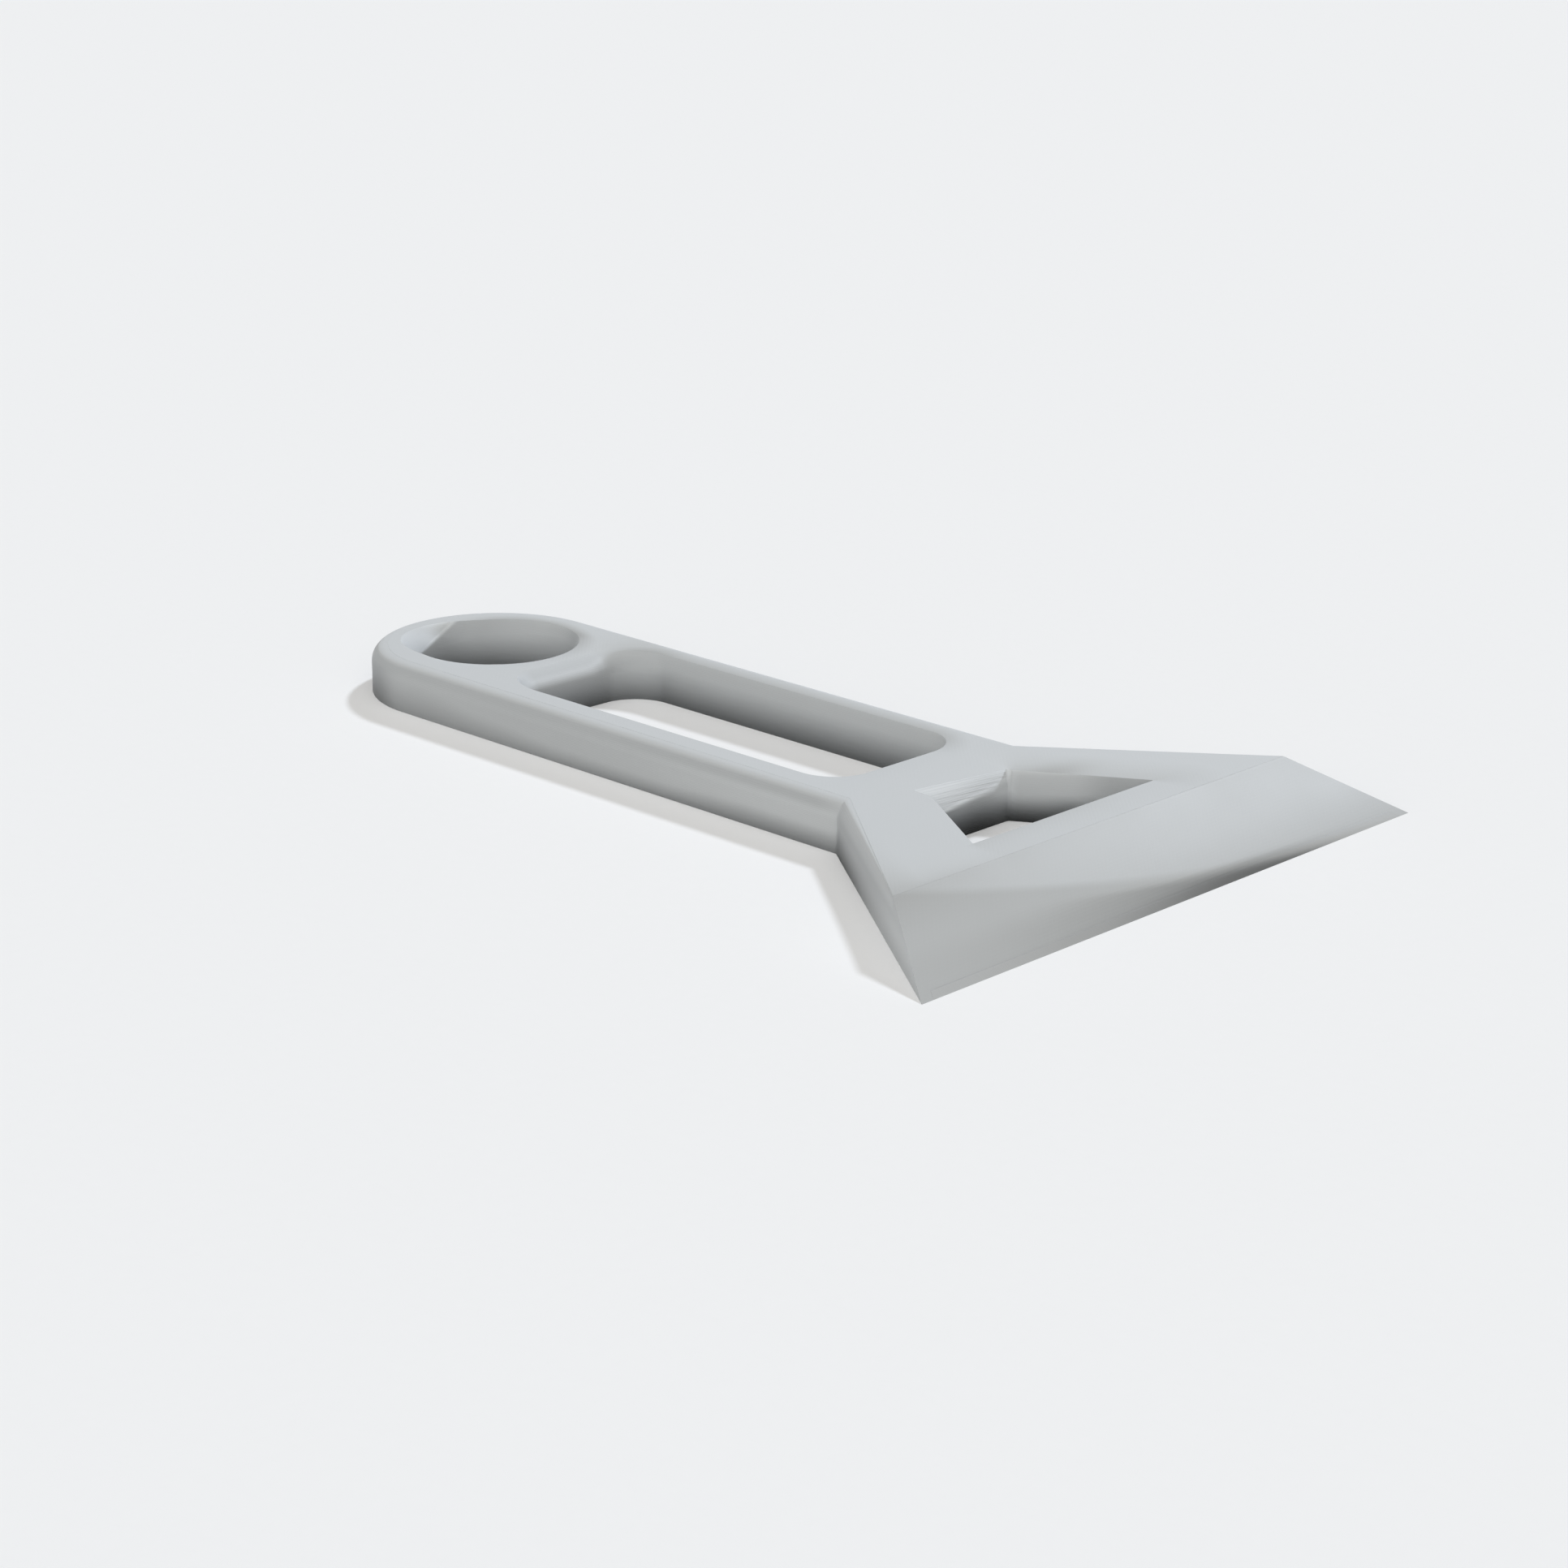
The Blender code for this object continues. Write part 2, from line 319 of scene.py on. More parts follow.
def draw_plan():
    """The body's flat outline: a half disc, the handle and the flared head."""
    bpy.ops.mesh.primitive_circle_add(vertices=OUTLINE_STEPS, radius=HALF_HANDLE, fill_type="NGON",
                                      location=(HOLE_X, 0, 0))
    body = start_piece("printed_body")
    open_edit(body)
    bpy.ops.mesh.select_all(action="SELECT")
    bpy.ops.mesh.bisect(plane_co=(HOLE_X, 0, 0), plane_no=(1, 0, 0), clear_outer=True)
    pick("EDGE", lambda edge: all_corners(edge, lambda co: near(co.x, HOLE_X)))
    bpy.ops.mesh.extrude_edges_move(TRANSFORM_OT_translate={"value": (NECK_X - HOLE_X, 0, 0)})
    bpy.ops.mesh.extrude_edges_move(TRANSFORM_OT_translate={"value": (EDGE_X - NECK_X, 0, 0)})
    resize((1, HALF_EDGE / HALF_HANDLE, 1), (EDGE_X, 0, 0))
    bpy.ops.mesh.select_all(action="SELECT")
    bpy.ops.mesh.normals_make_consistent(inside=False)
    return body


def raise_ring(height, inset, old_height, old_inset):
    """Lifts the top and draws it in: all round the handle, and not at the nose."""
    pick("FACE", lambda face: all_corners(face, lambda co: near(co.z, old_height)))
    lift(height - old_height)
    share = (HALF_HANDLE - inset) / (HALF_HANDLE - old_inset)
    pick("VERT", lambda corner: near(corner.co.z, height) and corner.co.x < HOLE_X + TOUCH)
    resize((share, share, 1), (HOLE_X, 0, height))
    pick("VERT", lambda corner: near(corner.co.z, height) and near(corner.co.x, NECK_X))
    resize((1, share, 1), (NECK_X, 0, height))
    old_front = nose_x(old_height)
    front = nose_x(height)
    pick("VERT", lambda corner: near(corner.co.z, height) and near(corner.co.x, old_front))
    bpy.ops.transform.translate(value=(front - old_front, 0, 0))
    resize((1, flare_half_width(front) / flare_half_width(old_front), 1), (front, 0, height))


def raise_body():
    """The walls, and the rounding along the top that fades out along the flares."""
    old = (0, 0)
    for step in range(ROUNDING_STEPS + 1):
        turn = math.pi / 2 * step / ROUNDING_STEPS
        new = (THICKNESS - TOP_ROUNDING * (1 - math.sin(turn)), TOP_ROUNDING * (1 - math.cos(turn)))
        raise_ring(*new, *old)
        old = new


def block_with_round_corners(name, low, high, radius, steps):
    """An upright block, to cut an opening, whose four corners are rounded."""
    cutter = add_block(name, (*low, FOOT_BREAK), (*high, THICKNESS - OVERRUN))
    open_edit(cutter)
    pick("EDGE", is_upright)
    soften(radius, steps)
    bpy.ops.object.mode_set(mode="OBJECT")
    return cutter


def is_upright(edge):
    return abs(edge.verts[0].co.z - edge.verts[1].co.z) > TOUCH


def slot_cutter():
    return block_with_round_corners("slot_cut", (SLOT_START_X, -SLOT_HALF_WIDTH),
                                    (SLOT_END_X, SLOT_HALF_WIDTH), SLOT_CORNER_RADIUS, CORNER_STEPS)


def window_cutter():
    """The window's outline: wider at its front, with its four corners just rounded."""
    half_back = WINDOW_BACK_WIDTH / 2
    cutter = add_block("window_cut", (WINDOW_START_X, -half_back, FOOT_BREAK),
                       (WINDOW_END_X, half_back, THICKNESS - OVERRUN))
    open_edit(cutter)
    pick("VERT", lambda corner: near(corner.co.x, WINDOW_END_X))
    resize((1, WINDOW_FRONT_WIDTH / WINDOW_BACK_WIDTH, 1), (WINDOW_END_X, 0, 0))
    pick("EDGE", is_upright)
    soften(WINDOW_CORNER_RADIUS, SMALL_CORNER_STEPS)
    bpy.ops.object.mode_set(mode="OBJECT")
    return cutter


def spread(height, move, centre_x):
    """Moves the four sides of a level outwards."""
    for test, way in ((lambda co: co.x < centre_x, (-move, 0, 0)),
                      (lambda co: co.x > centre_x, (move, 0, 0)),
                      (lambda co: co.y < 0, (0, -move, 0)),
                      (lambda co: co.y > 0, (0, move, 0))):
        pick("VERT", lambda corner: near(corner.co.z, height) and test(corner.co))
        bpy.ops.transform.translate(value=way)


def stretch(height, way, line, old_reach, new_reach, side=0):
    """Stretches a level beyond a line, so that its farthest point moves out; if a side is given,
    only on the right (-1) or on the left (1)."""
    way = Vector(way)
    pick("VERT", lambda corner: near(corner.co.z, height) and corner.co.dot(way) > line + TOUCH
         and corner.co.y * side >= 0)
    turn = Matrix.Rotation(math.atan2(way.y, way.x), 3, "Z")
    bpy.ops.transform.resize(value=(new_reach / old_reach, 1, 1), center_override=way * line,
                             orient_type="GLOBAL", orient_matrix=turn, orient_matrix_type="GLOBAL")


def widen_hole(height, old, new):
    stretch(height, (0, 1, 0), 0, HOLE_RADIUS + HOLE_RIM_LEFT * old, HOLE_RADIUS + HOLE_RIM_LEFT * new)
    way = (math.cos(HOLE_RIM_WAY), math.sin(HOLE_RIM_WAY), 0)
    line = HOLE_RADIUS * math.cos(HOLE_RIM_SPAN)
    reach = HOLE_RADIUS - line
    stretch(height, way, HOLE_X * way[0] + line, reach + HOLE_RIM_END * old, reach + HOLE_RIM_END * new)


def widen_slot(height, old, new):
    radius = SLOT_CORNER_RADIUS
    stretch(height, (-1, 0, 0), -SLOT_START_X - radius, radius + SLOT_RIM_END * old,
            radius + SLOT_RIM_END * new)
    stretch(height, (0, 1, 0), SLOT_HALF_WIDTH - radius, radius + SLOT_RIM_LEFT * old,
            radius + SLOT_RIM_LEFT * new)


def widen_window(height, old, new):
    for side, width in ((-1, WINDOW_RIM_END_RIGHT), (1, WINDOW_RIM_END_LEFT)):
        stretch(height, (-1, 0, 0), -WINDOW_START_X - WINDOW_CORNER_REACH,
                WINDOW_CORNER_REACH + width * old, WINDOW_CORNER_REACH + width * new, side)
    pick("VERT", lambda corner: near(corner.co.z, height) and corner.co.y > 0)
    bpy.ops.transform.translate(value=(0, WINDOW_RIM_LEFT * (new - old), 0))


def cut_opening(body, cutter, centre_x, depth, widen):
    """Cuts an opening with a small break at its foot and a rim at its top."""
    open_edit(cutter)
    pick("FACE", lambda face: face.normal.z < -0.5)
    lift(-FOOT_BREAK - OVERRUN)
    spread(-OVERRUN, FOOT_BREAK + OVERRUN, centre_x)
    pick_top()
    bpy.ops.transform.translate(value=(0, 0, OVERRUN - depth))
    old = (0, 0)
    for step in range(1, RIM_STEPS + 1):
        turn = math.pi / 2 * step / RIM_STEPS
        new = (math.sin(turn) ** RIM_FLATNESS, 1 - max(0, math.cos(turn)) ** RIM_FLATNESS)
        pick("FACE", is_level_top)
        lift(depth * (new[0] - old[0]))
        widen(THICKNESS - depth * (1 - new[0]), old[1], new[1])
        old = new
    pick("FACE", lambda face: is_level_top(face) and near(face.calc_center_median().z, THICKNESS))
    lift(OVERRUN)
    close_edit()
    cut(body, cutter)


def is_level_top(face):
    """True for the flat face that closes a cutter's top."""
    return face.normal.z > LEVEL and len(face.verts) > 4


def seat_cutter():
    """Room for the blade under the nose, with a printed cheek left beside each of its ends."""
    front = EDGE_X + OVERRUN
    half_back = flare_half_width(SEAT_BACK_X) - CHEEK_WIDTH
    cutter = add_block("seat_cut", (SEAT_BACK_X, -half_back, -OVERRUN), (front, half_back, SEAT_CEILING))
    open_edit(cutter)
    pick("VERT", lambda corner: near(corner.co.x, front))
    resize((1, (flare_half_width(front) - CHEEK_WIDTH) / half_back, 1), (front, 0, 0))
    close_edit()
    return cutter


def is_foot(edge):
    """True for the handle's outline on the ground, up to the neck."""
    if not all_corners(edge, lambda co: near(co.z, 0) and co.x < NECK_X + TOUCH):
        return False
    outside = all_corners(edge, lambda co: abs(co.y) > SLOT_HALF_WIDTH + 2 * FOOT_BREAK
                          or co.x < HOLE_X - HOLE_RADIUS - 2 * FOOT_BREAK)
    return outside and is_sharp(edge, BREAK_ANGLE)


def make_body():
    body = draw_plan()
    raise_body()
    close_edit()
    open_edit(body)
    pick("EDGE", is_foot)
    soften(FOOT_BREAK, BREAK_STEPS)
    close_edit()
    hole_cutter = add_cylinder("hang_hole_cut", HOLE_X, 0, FOOT_BREAK, THICKNESS - OVERRUN,
                               HOLE_RADIUS, HOLE_STEPS)
    cut_opening(body, hole_cutter, HOLE_X, HOLE_RIM_DEPTH, widen_hole)
    cut_opening(body, slot_cutter(), (SLOT_START_X + SLOT_END_X) / 2, SLOT_RIM_DEPTH, widen_slot)
    cut_opening(body, window_cutter(), (WINDOW_START_X + WINDOW_END_X) / 2, WINDOW_RIM_DEPTH, widen_window)
    cut(body, seat_cutter())
    for side in SIDES:
        low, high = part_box("threaded_insert_" + side)
        room = (high.x - low.x) / 2 + ROOM_ROUND_SCREW
        cut(body, add_cylinder("insert_room", (low.x + high.x) / 2, (low.y + high.y) / 2,
                               -OVERRUN, high.z + ROOM_ROUND_SCREW, room, TURNED_STEPS))
    open_edit(body)
    close_edit()
    shade(body, BODY_CRISP_ANGLE)
    return body


# Blade


def screw_place(side):
    low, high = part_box("blade_screw_" + side)
    return (low.x + high.x) / 2, (low.y + high.y) / 2


def countersink(x, y):
    """Room for a screw: straight for its shank, wider downwards for its head."""
    shank = SCREW_DIAMETER / 2 + ROOM_ROUND_SCREW
    head = HEAD_DIAMETER / 2 + ROOM_ROUND_SCREW
    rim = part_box("blade_screw_middle")[0].z + HEAD_RIM_HEIGHT
    cutter = add_cylinder("countersink", x, y, -OVERRUN, rim, head, TURNED_STEPS)
    open_edit(cutter)
    pick_top()
    lift(head - shank)
    taper(shank / head, x, y)
    lift(OVERRUN)
    close_edit()
    return cutter


def make_blade():
    """A thin plate whose ground bevel goes on down the nose's slope."""
    half_back = blade_half_width(BLADE_BACK_X)
    front_top = nose_x(BLADE_THICKNESS)
    blade = add_block("steel_blade", (BLADE_BACK_X, -half_back, 0), (EDGE_X, half_back, BLADE_THICKNESS))
    open_edit(blade)
    pick("VERT", lambda corner: near(corner.co.x, EDGE_X) and corner.co.z > TOUCH)
    bpy.ops.transform.translate(value=(front_top - EDGE_X, 0, 0))
    resize((1, blade_half_width(front_top) / half_back, 1), (front_top, 0, 0))
    pick("VERT", lambda corner: near(corner.co.x, EDGE_X))
    resize((1, blade_half_width(EDGE_X) / half_back, 1), (EDGE_X, 0, 0))
    close_edit()
    for side in SIDES:
        cut(blade, countersink(*screw_place(side)))
    open_edit(blade)
    pick("EDGE", lambda edge: is_sharp(edge, BLADE_BREAK_ANGLE)
         and all_corners(edge, lambda co: near(co.z, 0))
         and not all_corners(edge, lambda co: near(co.x, EDGE_X)))
    soften(BLADE_BREAK, BREAK_STEPS)
    close_edit()
    shade(blade, BLADE_CRISP_ANGLE)
    return blade


# Fasteners


def raise_thread(x, y, length, start_radius, other_radius):
    """Lifts the selected top in rings, from one radius to the other and back in each turn."""
    turns = int(length / THREAD_PITCH)
    for _ in range(turns):
        for share in (other_radius / start_radius, start_radius / other_radius):
            lift(length / turns / 2)
            taper(share, x, y)


def make_screw():
    """A countersunk screw with its head down: thread, cone, rim and a six-sided socket."""
    low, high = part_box("blade_screw_middle")
    x, y = screw_place("middle")
    shank = SCREW_DIAMETER / 2
    head = HEAD_DIAMETER / 2
    root = shank - THREAD_DEPTH
    rim = low.z + HEAD_RIM_HEIGHT
    neck = rim + head - shank
    screw = add_cylinder("countersunk_screw_middle", x, y, low.z, rim, head, TURNED_STEPS)
    open_edit(screw)
    pick_top()
    lift(neck - rim)
    taper(shank / head, x, y)
    raise_thread(x, y, high.z - neck, shank, root)
    taper(root / shank, x, y)
    close_edit()

    corner_radius = SOCKET_WIDTH / 2 / math.cos(math.pi / SOCKET_SIDES)
    socket = add_cylinder("socket_cut", x, y, -OVERRUN, low.z + SOCKET_DEPTH, corner_radius, SOCKET_SIDES)
    open_edit(socket)
    pick_top()
    lift(SOCKET_DRILL_DEPTH)
    taper(0, x, y)
    close_edit()
    cut(screw, socket)
    open_edit(screw)
    pick("EDGE", lambda edge: is_sharp(edge, BREAK_ANGLE)
         and all_corners(edge, lambda co: near(co.z, low.z)))
    soften(HEAD_BREAK, BREAK_STEPS)
    close_edit()
    shade(screw, SCREW_CRISP_ANGLE)
    return screw


def make_insert():
    """A brass ring with two knurled bands, a groove between them and a threaded bore."""
    low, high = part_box("threaded_insert_middle")
    x, y = screw_place("middle")
    outer = (high.x - low.x) / 2
    waist = outer - KNURL_DEPTH
    middle = (low.z + high.z) / 2
    insert = add_cylinder("brass_insert_middle", x, y, low.z, low.z + INSERT_MOUTH, waist, KNURL_STEPS)
    open_edit(insert)
    pick_top()
    height = low.z + INSERT_MOUTH
    for band_end in (middle - INSERT_GROOVE_WIDTH / 2, high.z):
        lift(KNURL_DEPTH)
        taper(outer / waist, x, y)
        lift(band_end - INSERT_MOUTH - KNURL_DEPTH - height)
        lift(INSERT_MOUTH)
        taper(waist / outer, x, y)
        height = band_end
        if band_end < middle:
            lift(INSERT_GROOVE_WIDTH)
            height += INSERT_GROOVE_WIDTH
    step = 2 * math.pi / KNURL_STEPS

    def is_valley(corner):
        away = Vector((corner.co.x - x, corner.co.y - y))
        return away.length > waist + TOUCH and round(math.atan2(away.x, away.y) / step) % 2

    pick("VERT", is_valley)
    taper(waist / outer, x, y)
    close_edit()
    crest = SCREW_DIAMETER / 2 + TOUCH
    root = crest + THREAD_DEPTH
    bore = add_cylinder("bore_cut", x, y, low.z - OVERRUN, low.z, root, TURNED_STEPS)
    open_edit(bore)
    pick_top()
    raise_thread(x, y, high.z - low.z, root, crest)
    lift(OVERRUN)
    close_edit()
    cut(insert, bore)
    open_edit(insert)
    close_edit()
    shade(insert, INSERT_CRISP_ANGLE)
    return insert


# Finishes

# The places of the two colours and of the blended one among a Mix node's sockets
MIX_FIRST_COLOUR = 6
MIX_SECOND_COLOUR = 7
MIX_BLENDED_COLOUR = 2


class Value:
    """A node's output. An expression on values adds its Math nodes."""

    def __init__(self, finish, socket):
        self.finish = finish
        self.socket = socket

    def math(self, operation, *others):
        inputs = dict(enumerate((self, *others)))
        return self.finish.node("ShaderNodeMath", {"operation": operation}, inputs)

    def __add__(self, other):
        return self.math("ADD", other)

    __radd__ = __add__

    def __mul__(self, other):
        return self.math("MULTIPLY", other)

    __rmul__ = __mul__

    def __sub__(self, other):
        return self.math("SUBTRACT", other)

    def __rsub__(self, other):
        return self * -1 + other

    def __truediv__(self, other):
        return self.math("DIVIDE", other)

    def __pow__(self, other):
        return self.math("POWER", other)

    def __neg__(self):
        return self * -1

    def __abs__(self):
        return self.math("ABSOLUTE")

    def sine(self):
        return self.math("SINE")

    def cosine(self):
        return self.math("COSINE")

    def exponent(self):
        return self.math("EXPONENT")

    def at_least(self, other):
        return self.math("MAXIMUM", other)

    def at_most(self, other):
        return self.math("MINIMUM", other)

    def __lt__(self, other):
        return self.math("LESS_THAN", other)

    def step(self, low, high):
        """Rises smoothly from 0 at low to 1 at high."""
        settings = {"interpolation_type": "SMOOTHSTEP"}
        return self.finish.node("ShaderNodeMapRange", settings,
                                {"Value": self, "From Min": low, "From Max": high})


class Finish:
    """A material and its nodes."""

    def __init__(self, name):
        self.material = bpy.data.materials.new(name)
        self.material.use_nodes = True
        self.tree = self.material.node_tree
        self.shader = self.tree.nodes["Principled BSDF"]

    def feed(self, socket, value):
        if isinstance(value, Value):
            self.tree.links.new(value.socket, socket)
        elif value is not None:
            socket.default_value = value

    def node(self, kind, settings=None, inputs=None, output=0):
        """Any node: its settings are set first, then its sockets' values or links."""
        made = self.tree.nodes.new(kind)
        for key, value in (settings or {}).items():
            setattr(made, key, value)
        for key, value in (inputs or {}).items():
            self.feed(made.inputs[key], value)
        return Value(self, made.outputs[output])

    def place(self):
        """Object coordinates in metres."""
        return self.node("ShaderNodeTexCoord", output="Object")

    def facing(self):
        """The surface's own direction, in object coordinates."""
        return self.node("ShaderNodeTexCoord", output="Normal")

    def split(self, vector):
        made = self.tree.nodes.new("ShaderNodeSeparateXYZ")
        self.feed(made.inputs[0], vector)
        return [Value(self, output) for output in made.outputs]

    def vector(self, x, y, z):
        return self.node("ShaderNodeCombineXYZ", inputs={0: x, 1: y, 2: z})

    def sum_of(self, first, second):
        return self.node("ShaderNodeVectorMath", {"operation": "ADD"}, {0: first, 1: second})

    def scaled(self, vector, factor):
        return self.node("ShaderNodeVectorMath", {"operation": "SCALE"}, {0: vector, "Scale": factor})

    def stretched(self, vector, scale):
        return self.node("ShaderNodeVectorMath", {"operation": "MULTIPLY"}, {0: vector, 1: scale})

    def unit(self, vector):
        return self.node("ShaderNodeVectorMath", {"operation": "NORMALIZE"}, {0: vector})

    def to_world(self, vector):
        settings = {"vector_type": "NORMAL", "convert_from": "OBJECT", "convert_to": "WORLD"}
        return self.node("ShaderNodeVectorTransform", settings, {0: vector})

    def noise(self, place, scale, detail=2.0, roughness=0.5):
        return self.node("ShaderNodeTexNoise", inputs={"Vector": place, "Scale": scale,
                                                       "Detail": detail, "Roughness": roughness})

    def blend(self, factor, first, second):
        """A colour between two colours."""
        made = self.tree.nodes.new("ShaderNodeMix")
        made.data_type = "RGBA"
        self.feed(made.inputs["Factor"], factor)
        self.feed(made.inputs[MIX_FIRST_COLOUR], as_colour(first))
        self.feed(made.inputs[MIX_SECOND_COLOUR], as_colour(second))
        return Value(self, made.outputs[MIX_BLENDED_COLOUR])

    def bump(self, height, distance, normal=None):
        """A fine relief, whose height times the distance is in metres."""
        return self.node("ShaderNodeBump", inputs={"Height": height, "Distance": distance,
                                                   "Strength": 1.0, "Normal": normal})

    def give(self, **inputs):
        """Feeds the shader's own sockets, with spaces written as underscores."""
        for name, value in inputs.items():
            self.feed(self.shader.inputs[name.replace("_", " ")], as_colour(value))


def as_colour(value):
    return (*value, 1) if isinstance(value, tuple) and len(value) == 3 else value


PLASTIC_COLOUR = (0.5205, 0.5445, 0.5637)
PLASTIC_ROUGHNESS = 0.60
LAYER_HEIGHT = 0.0002
LAYER_RELIEF = 0.0000022
LAYER_WAVER = 1.5
RASTER_PITCH = 0.00042
RASTER_RELIEF = 0.0000012
RASTER_WAVER = 1.2
GRAIN_RELIEF = 0.0000015
GRAIN_TONE = 0.02
CLOUD_TONE = 0.04
CLOUD_ROUGHNESS = 0.12

# The scales of the noises, per metre
WAVER_SCALE = 900
GRAIN_SCALE = 9000
CLOUD_SCALE = 110

# Painted shade: the openings' walls are painted darker towards their foot, and most in the window
FOOT_SHADE_HEIGHT = 0.0030
FOOT_SHADE_FALL = 1.5
FOOT_SHADE = 0.12
WINDOW_FOOT_SHADE = 0.38

# How the nose's face leans: its near half away from the light, forwards towards the edge, and
# down in a soft dip by the edge. Shares are of the nose's length and of its half width.
NEAR_LEAN = (-0.10, -0.47, 0.0)
FAR_LEAN = (0.45, 0.0, -0.35)
FAR_LEAN_START = 0.35
FAR_LEAN_RISE = 1.6
FAR_LEAN_SHARE = 0.6
BORDER_START = 0.33
BORDER_SLOPE = 1.30
BORDER_CURL = 0.73
BORDER_CURL_LENGTH = 0.075
BORDER_SHIFT = 0.10
BORDER_SOFTNESS = 0.15
BORDER_SPREAD = 0.12
LIT_SHARE = 0.46
LIT_REACH = 1.55
LIT_RISE = 1.3
RIGHT_CORNER_START = 0.3
RIGHT_CORNER_LENGTH = 0.4
RIGHT_CORNER_SHARE = 0.3
DIP_LEAN = (0.54, 0.38, -0.86)
DIP_CENTRE = 0.33
DIP_SLOPE = 1.9
DIP_RIGHT_WIDTH = 0.75
DIP_RIGHT_FALL = 1.2
DIP_LEFT_WIDTH = 0.2
DIP_LEFT_WIDENING = 2
DIP_LEFT_PLACE = 0.8
DIP_LEFT_LEAST = 0.15
DIP_LEFT_MOST = 0.36
DIP_START = 0.5
DIP_DEPTH = 2.25
DIP_STEEP_START = 0.86
DIP_STEEP_DEPTH = 2.4

# How far the walls turn down at their feet, in degrees, and the height at which they are upright
OUTER_FOOT_TURN = -29
OUTER_UPRIGHT = 0.0030
SIDE_UPRIGHT = -0.0008
MIDDLE_UPRIGHT = -0.0006
END_TURN = -25
NECK_FOOT_TURN = -17
NECK_UPRIGHT = -0.0002
FLARE_START_TURN = -27
FLARE_FRONT_TURN = 68
FLARE_UPRIGHT = 0.0015
INNER_FOOT_TURN = -53
INNER_UPRIGHT = 0.0037
INNER_SIDE_TURN = -11
CORNER_TURN = 20
CORNER_UPRIGHT = -0.0009
HOLE_FOOT_TURN = 13
WINDOW_FOOT_TURN = -33
WINDOW_CORNER_TURN = 22
WINDOW_UPRIGHT = -0.00095
WINDOW_SIDE_UPRIGHT = -0.00050
WINDOW_SIDE_RISE = 0.09
DEEPEST_TURN = -84
HIGHEST_TURN = 9
WINDOW_HIGHEST_TURN = 13
CORNER_HIGHEST_TURN = 8
FLARE_HIGHEST_TURN = -12

# Where the walls' parts begin and end along the tool, from the hole's middle
END_SPAN = (-0.006, 0)
HANDLE_SPAN = (0.003, 0.015)
NECK_SPAN = (0.010, NECK_X - HOLE_X)
MIDDLE_START_SPAN = (0.012, 0.028)
MIDDLE_END_SPAN = (0.044, 0.060)
RING_SPAN = (0.004, 0.006)
HOLE_WALL_SPAN = (HOLE_RADIUS + 0.0010, HOLE_RADIUS + 0.0030)

# The same from the neck, from the window's back wall, and across the window
FLARE_SPAN = (-0.0005, 0.0010)
FLARE_FRONT_SPAN = (0.001, 0.020)
WINDOW_SPAN = (0, 0.001)
WINDOW_SIDE_SPAN = (0.0001, 0.0009)
LEFT_HALF_SPAN = (0, 0.006)

# Where the openings' walls end and the outer ones begin, in shares of the body's half width
INNER_SPAN = (0.78, 0.88)

# The slot's corners: by the way that a wall faces, and more on the left
CORNER_FACING = 0.7
CORNER_START = 0.72
CORNER_SOFTNESS = 0.25
LEFT_CORNER_SPAN = (0.001, 0.007)
LEFT_CORNER_FACING = (0.8, 1)
LEFT_CORNER_SHARE = 0.5

# How far the surface faces up: upright walls, the wide rims, and the top. A change at a line is crisp.
WALL_FACING = (0.1, 0.6)
RIM_LOW_FACING = (0.05, 0.2)
RIM_HIGH_FACING = (0.98, 0.999)
RIM_END_FACING = (0.1, 0.4)
TOP_FACING = (0.1, 0.7)
NOSE_FACING = (0.7, 0.85)
FLAT_FACING = (0.80, 0.98)
CRISP = 0.0001
NOT_ZERO = 1e-12

# How the top turns down towards the openings' rims: everywhere, more to the left (+Y), and how far
HOLE_RIM_LEAN = (0.30, 0.65, 0.0025)
SLOT_RIM_LEAN = (0.15, 0.58, 0.0031)
WINDOW_RIM_LEAN = (0.12, 0.22, 0.0085)
LEFT_RIM_FACING = (-0.1, 0.1)
WINDOW_DEEP_LEAN = 0.42
WINDOW_DEEP_X = 0.0035
WINDOW_DEEP_REACH = 0.0025
SLOT_SPOT_LEAN = (0.21, -0.32, 0.0)
SLOT_SPOT_REACH = 0.005
HOLE_SPOT_LEAN = (0.0, -0.28, 0.0)
HOLE_SPOT_WAY = math.radians(68)
HOLE_SPOT_TURN = -16
HOLE_SPOT_REACH = (0.003, 0.0012)

# How the rounding along the handle's top turns down
EDGE_FALL = 0.75
EDGE_FALL_LOW_FACING = (0.02, 0.1)
EDGE_FALL_HIGH_FACING = (0.70, 0.92)
EDGE_FALL_SPAN = (-0.004, 0.004)

# How the top turns down to the fold near the nose's right corner, and along the window's front
FOLD_LEAN = -0.60
FOLD_LEAN_START = 0.2
FOLD_LEAN_WIDTH = 0.78
FOLD_LEAN_RISE = 1.3
FOLD_REACH = 0.0025
FOLD_CORNER_REACH = 0.006
FOLD_CORNER_START = 0.85
FOLD_CORNER_WIDTH = 0.15
NOSE_START_LEAN = -0.08
NOSE_START_REACH = 0.003
BAR_LEAN = -0.28
BAR_REACH = 0.0020
BAR_RIGHT_SPAN = (-0.0165, -0.0145)
BAR_LEFT_SPAN = (0.002, 0.012)

# How upright the wide rims look: 1 as they are, 0 level. They end in a crease that runs aslant.
SLOPE_SHARE = 0.10
SLOT_SLOPE_SHARE = 0.28
FAR_RIM_SHARE = 0.35
FAR_RIM_LEFT_FACING = (0.3, 0.8)
FAR_RIM_LOW_FACING = (0.02, 0.1)
FAR_RIM_HIGH_FACING = (0.9, 0.98)
BELOW_CREASE_SHARE = 0.15
CREASE_WAY = math.radians(215)
HOLE_CREASE_LEAST = 0.71
HOLE_CREASE_DEPTH = 0.0105
SLOT_CREASE_DEPTH = 0.0022
SLOT_CREASE_BEND_Y = 0.0035
SLOT_CREASE_BEND = 0.26
WINDOW_CREASE_DEPTH = 0.0023
WINDOW_CREASE_SLOPE = 0.12
WINDOW_CREASE_BEND_Y = 0.004
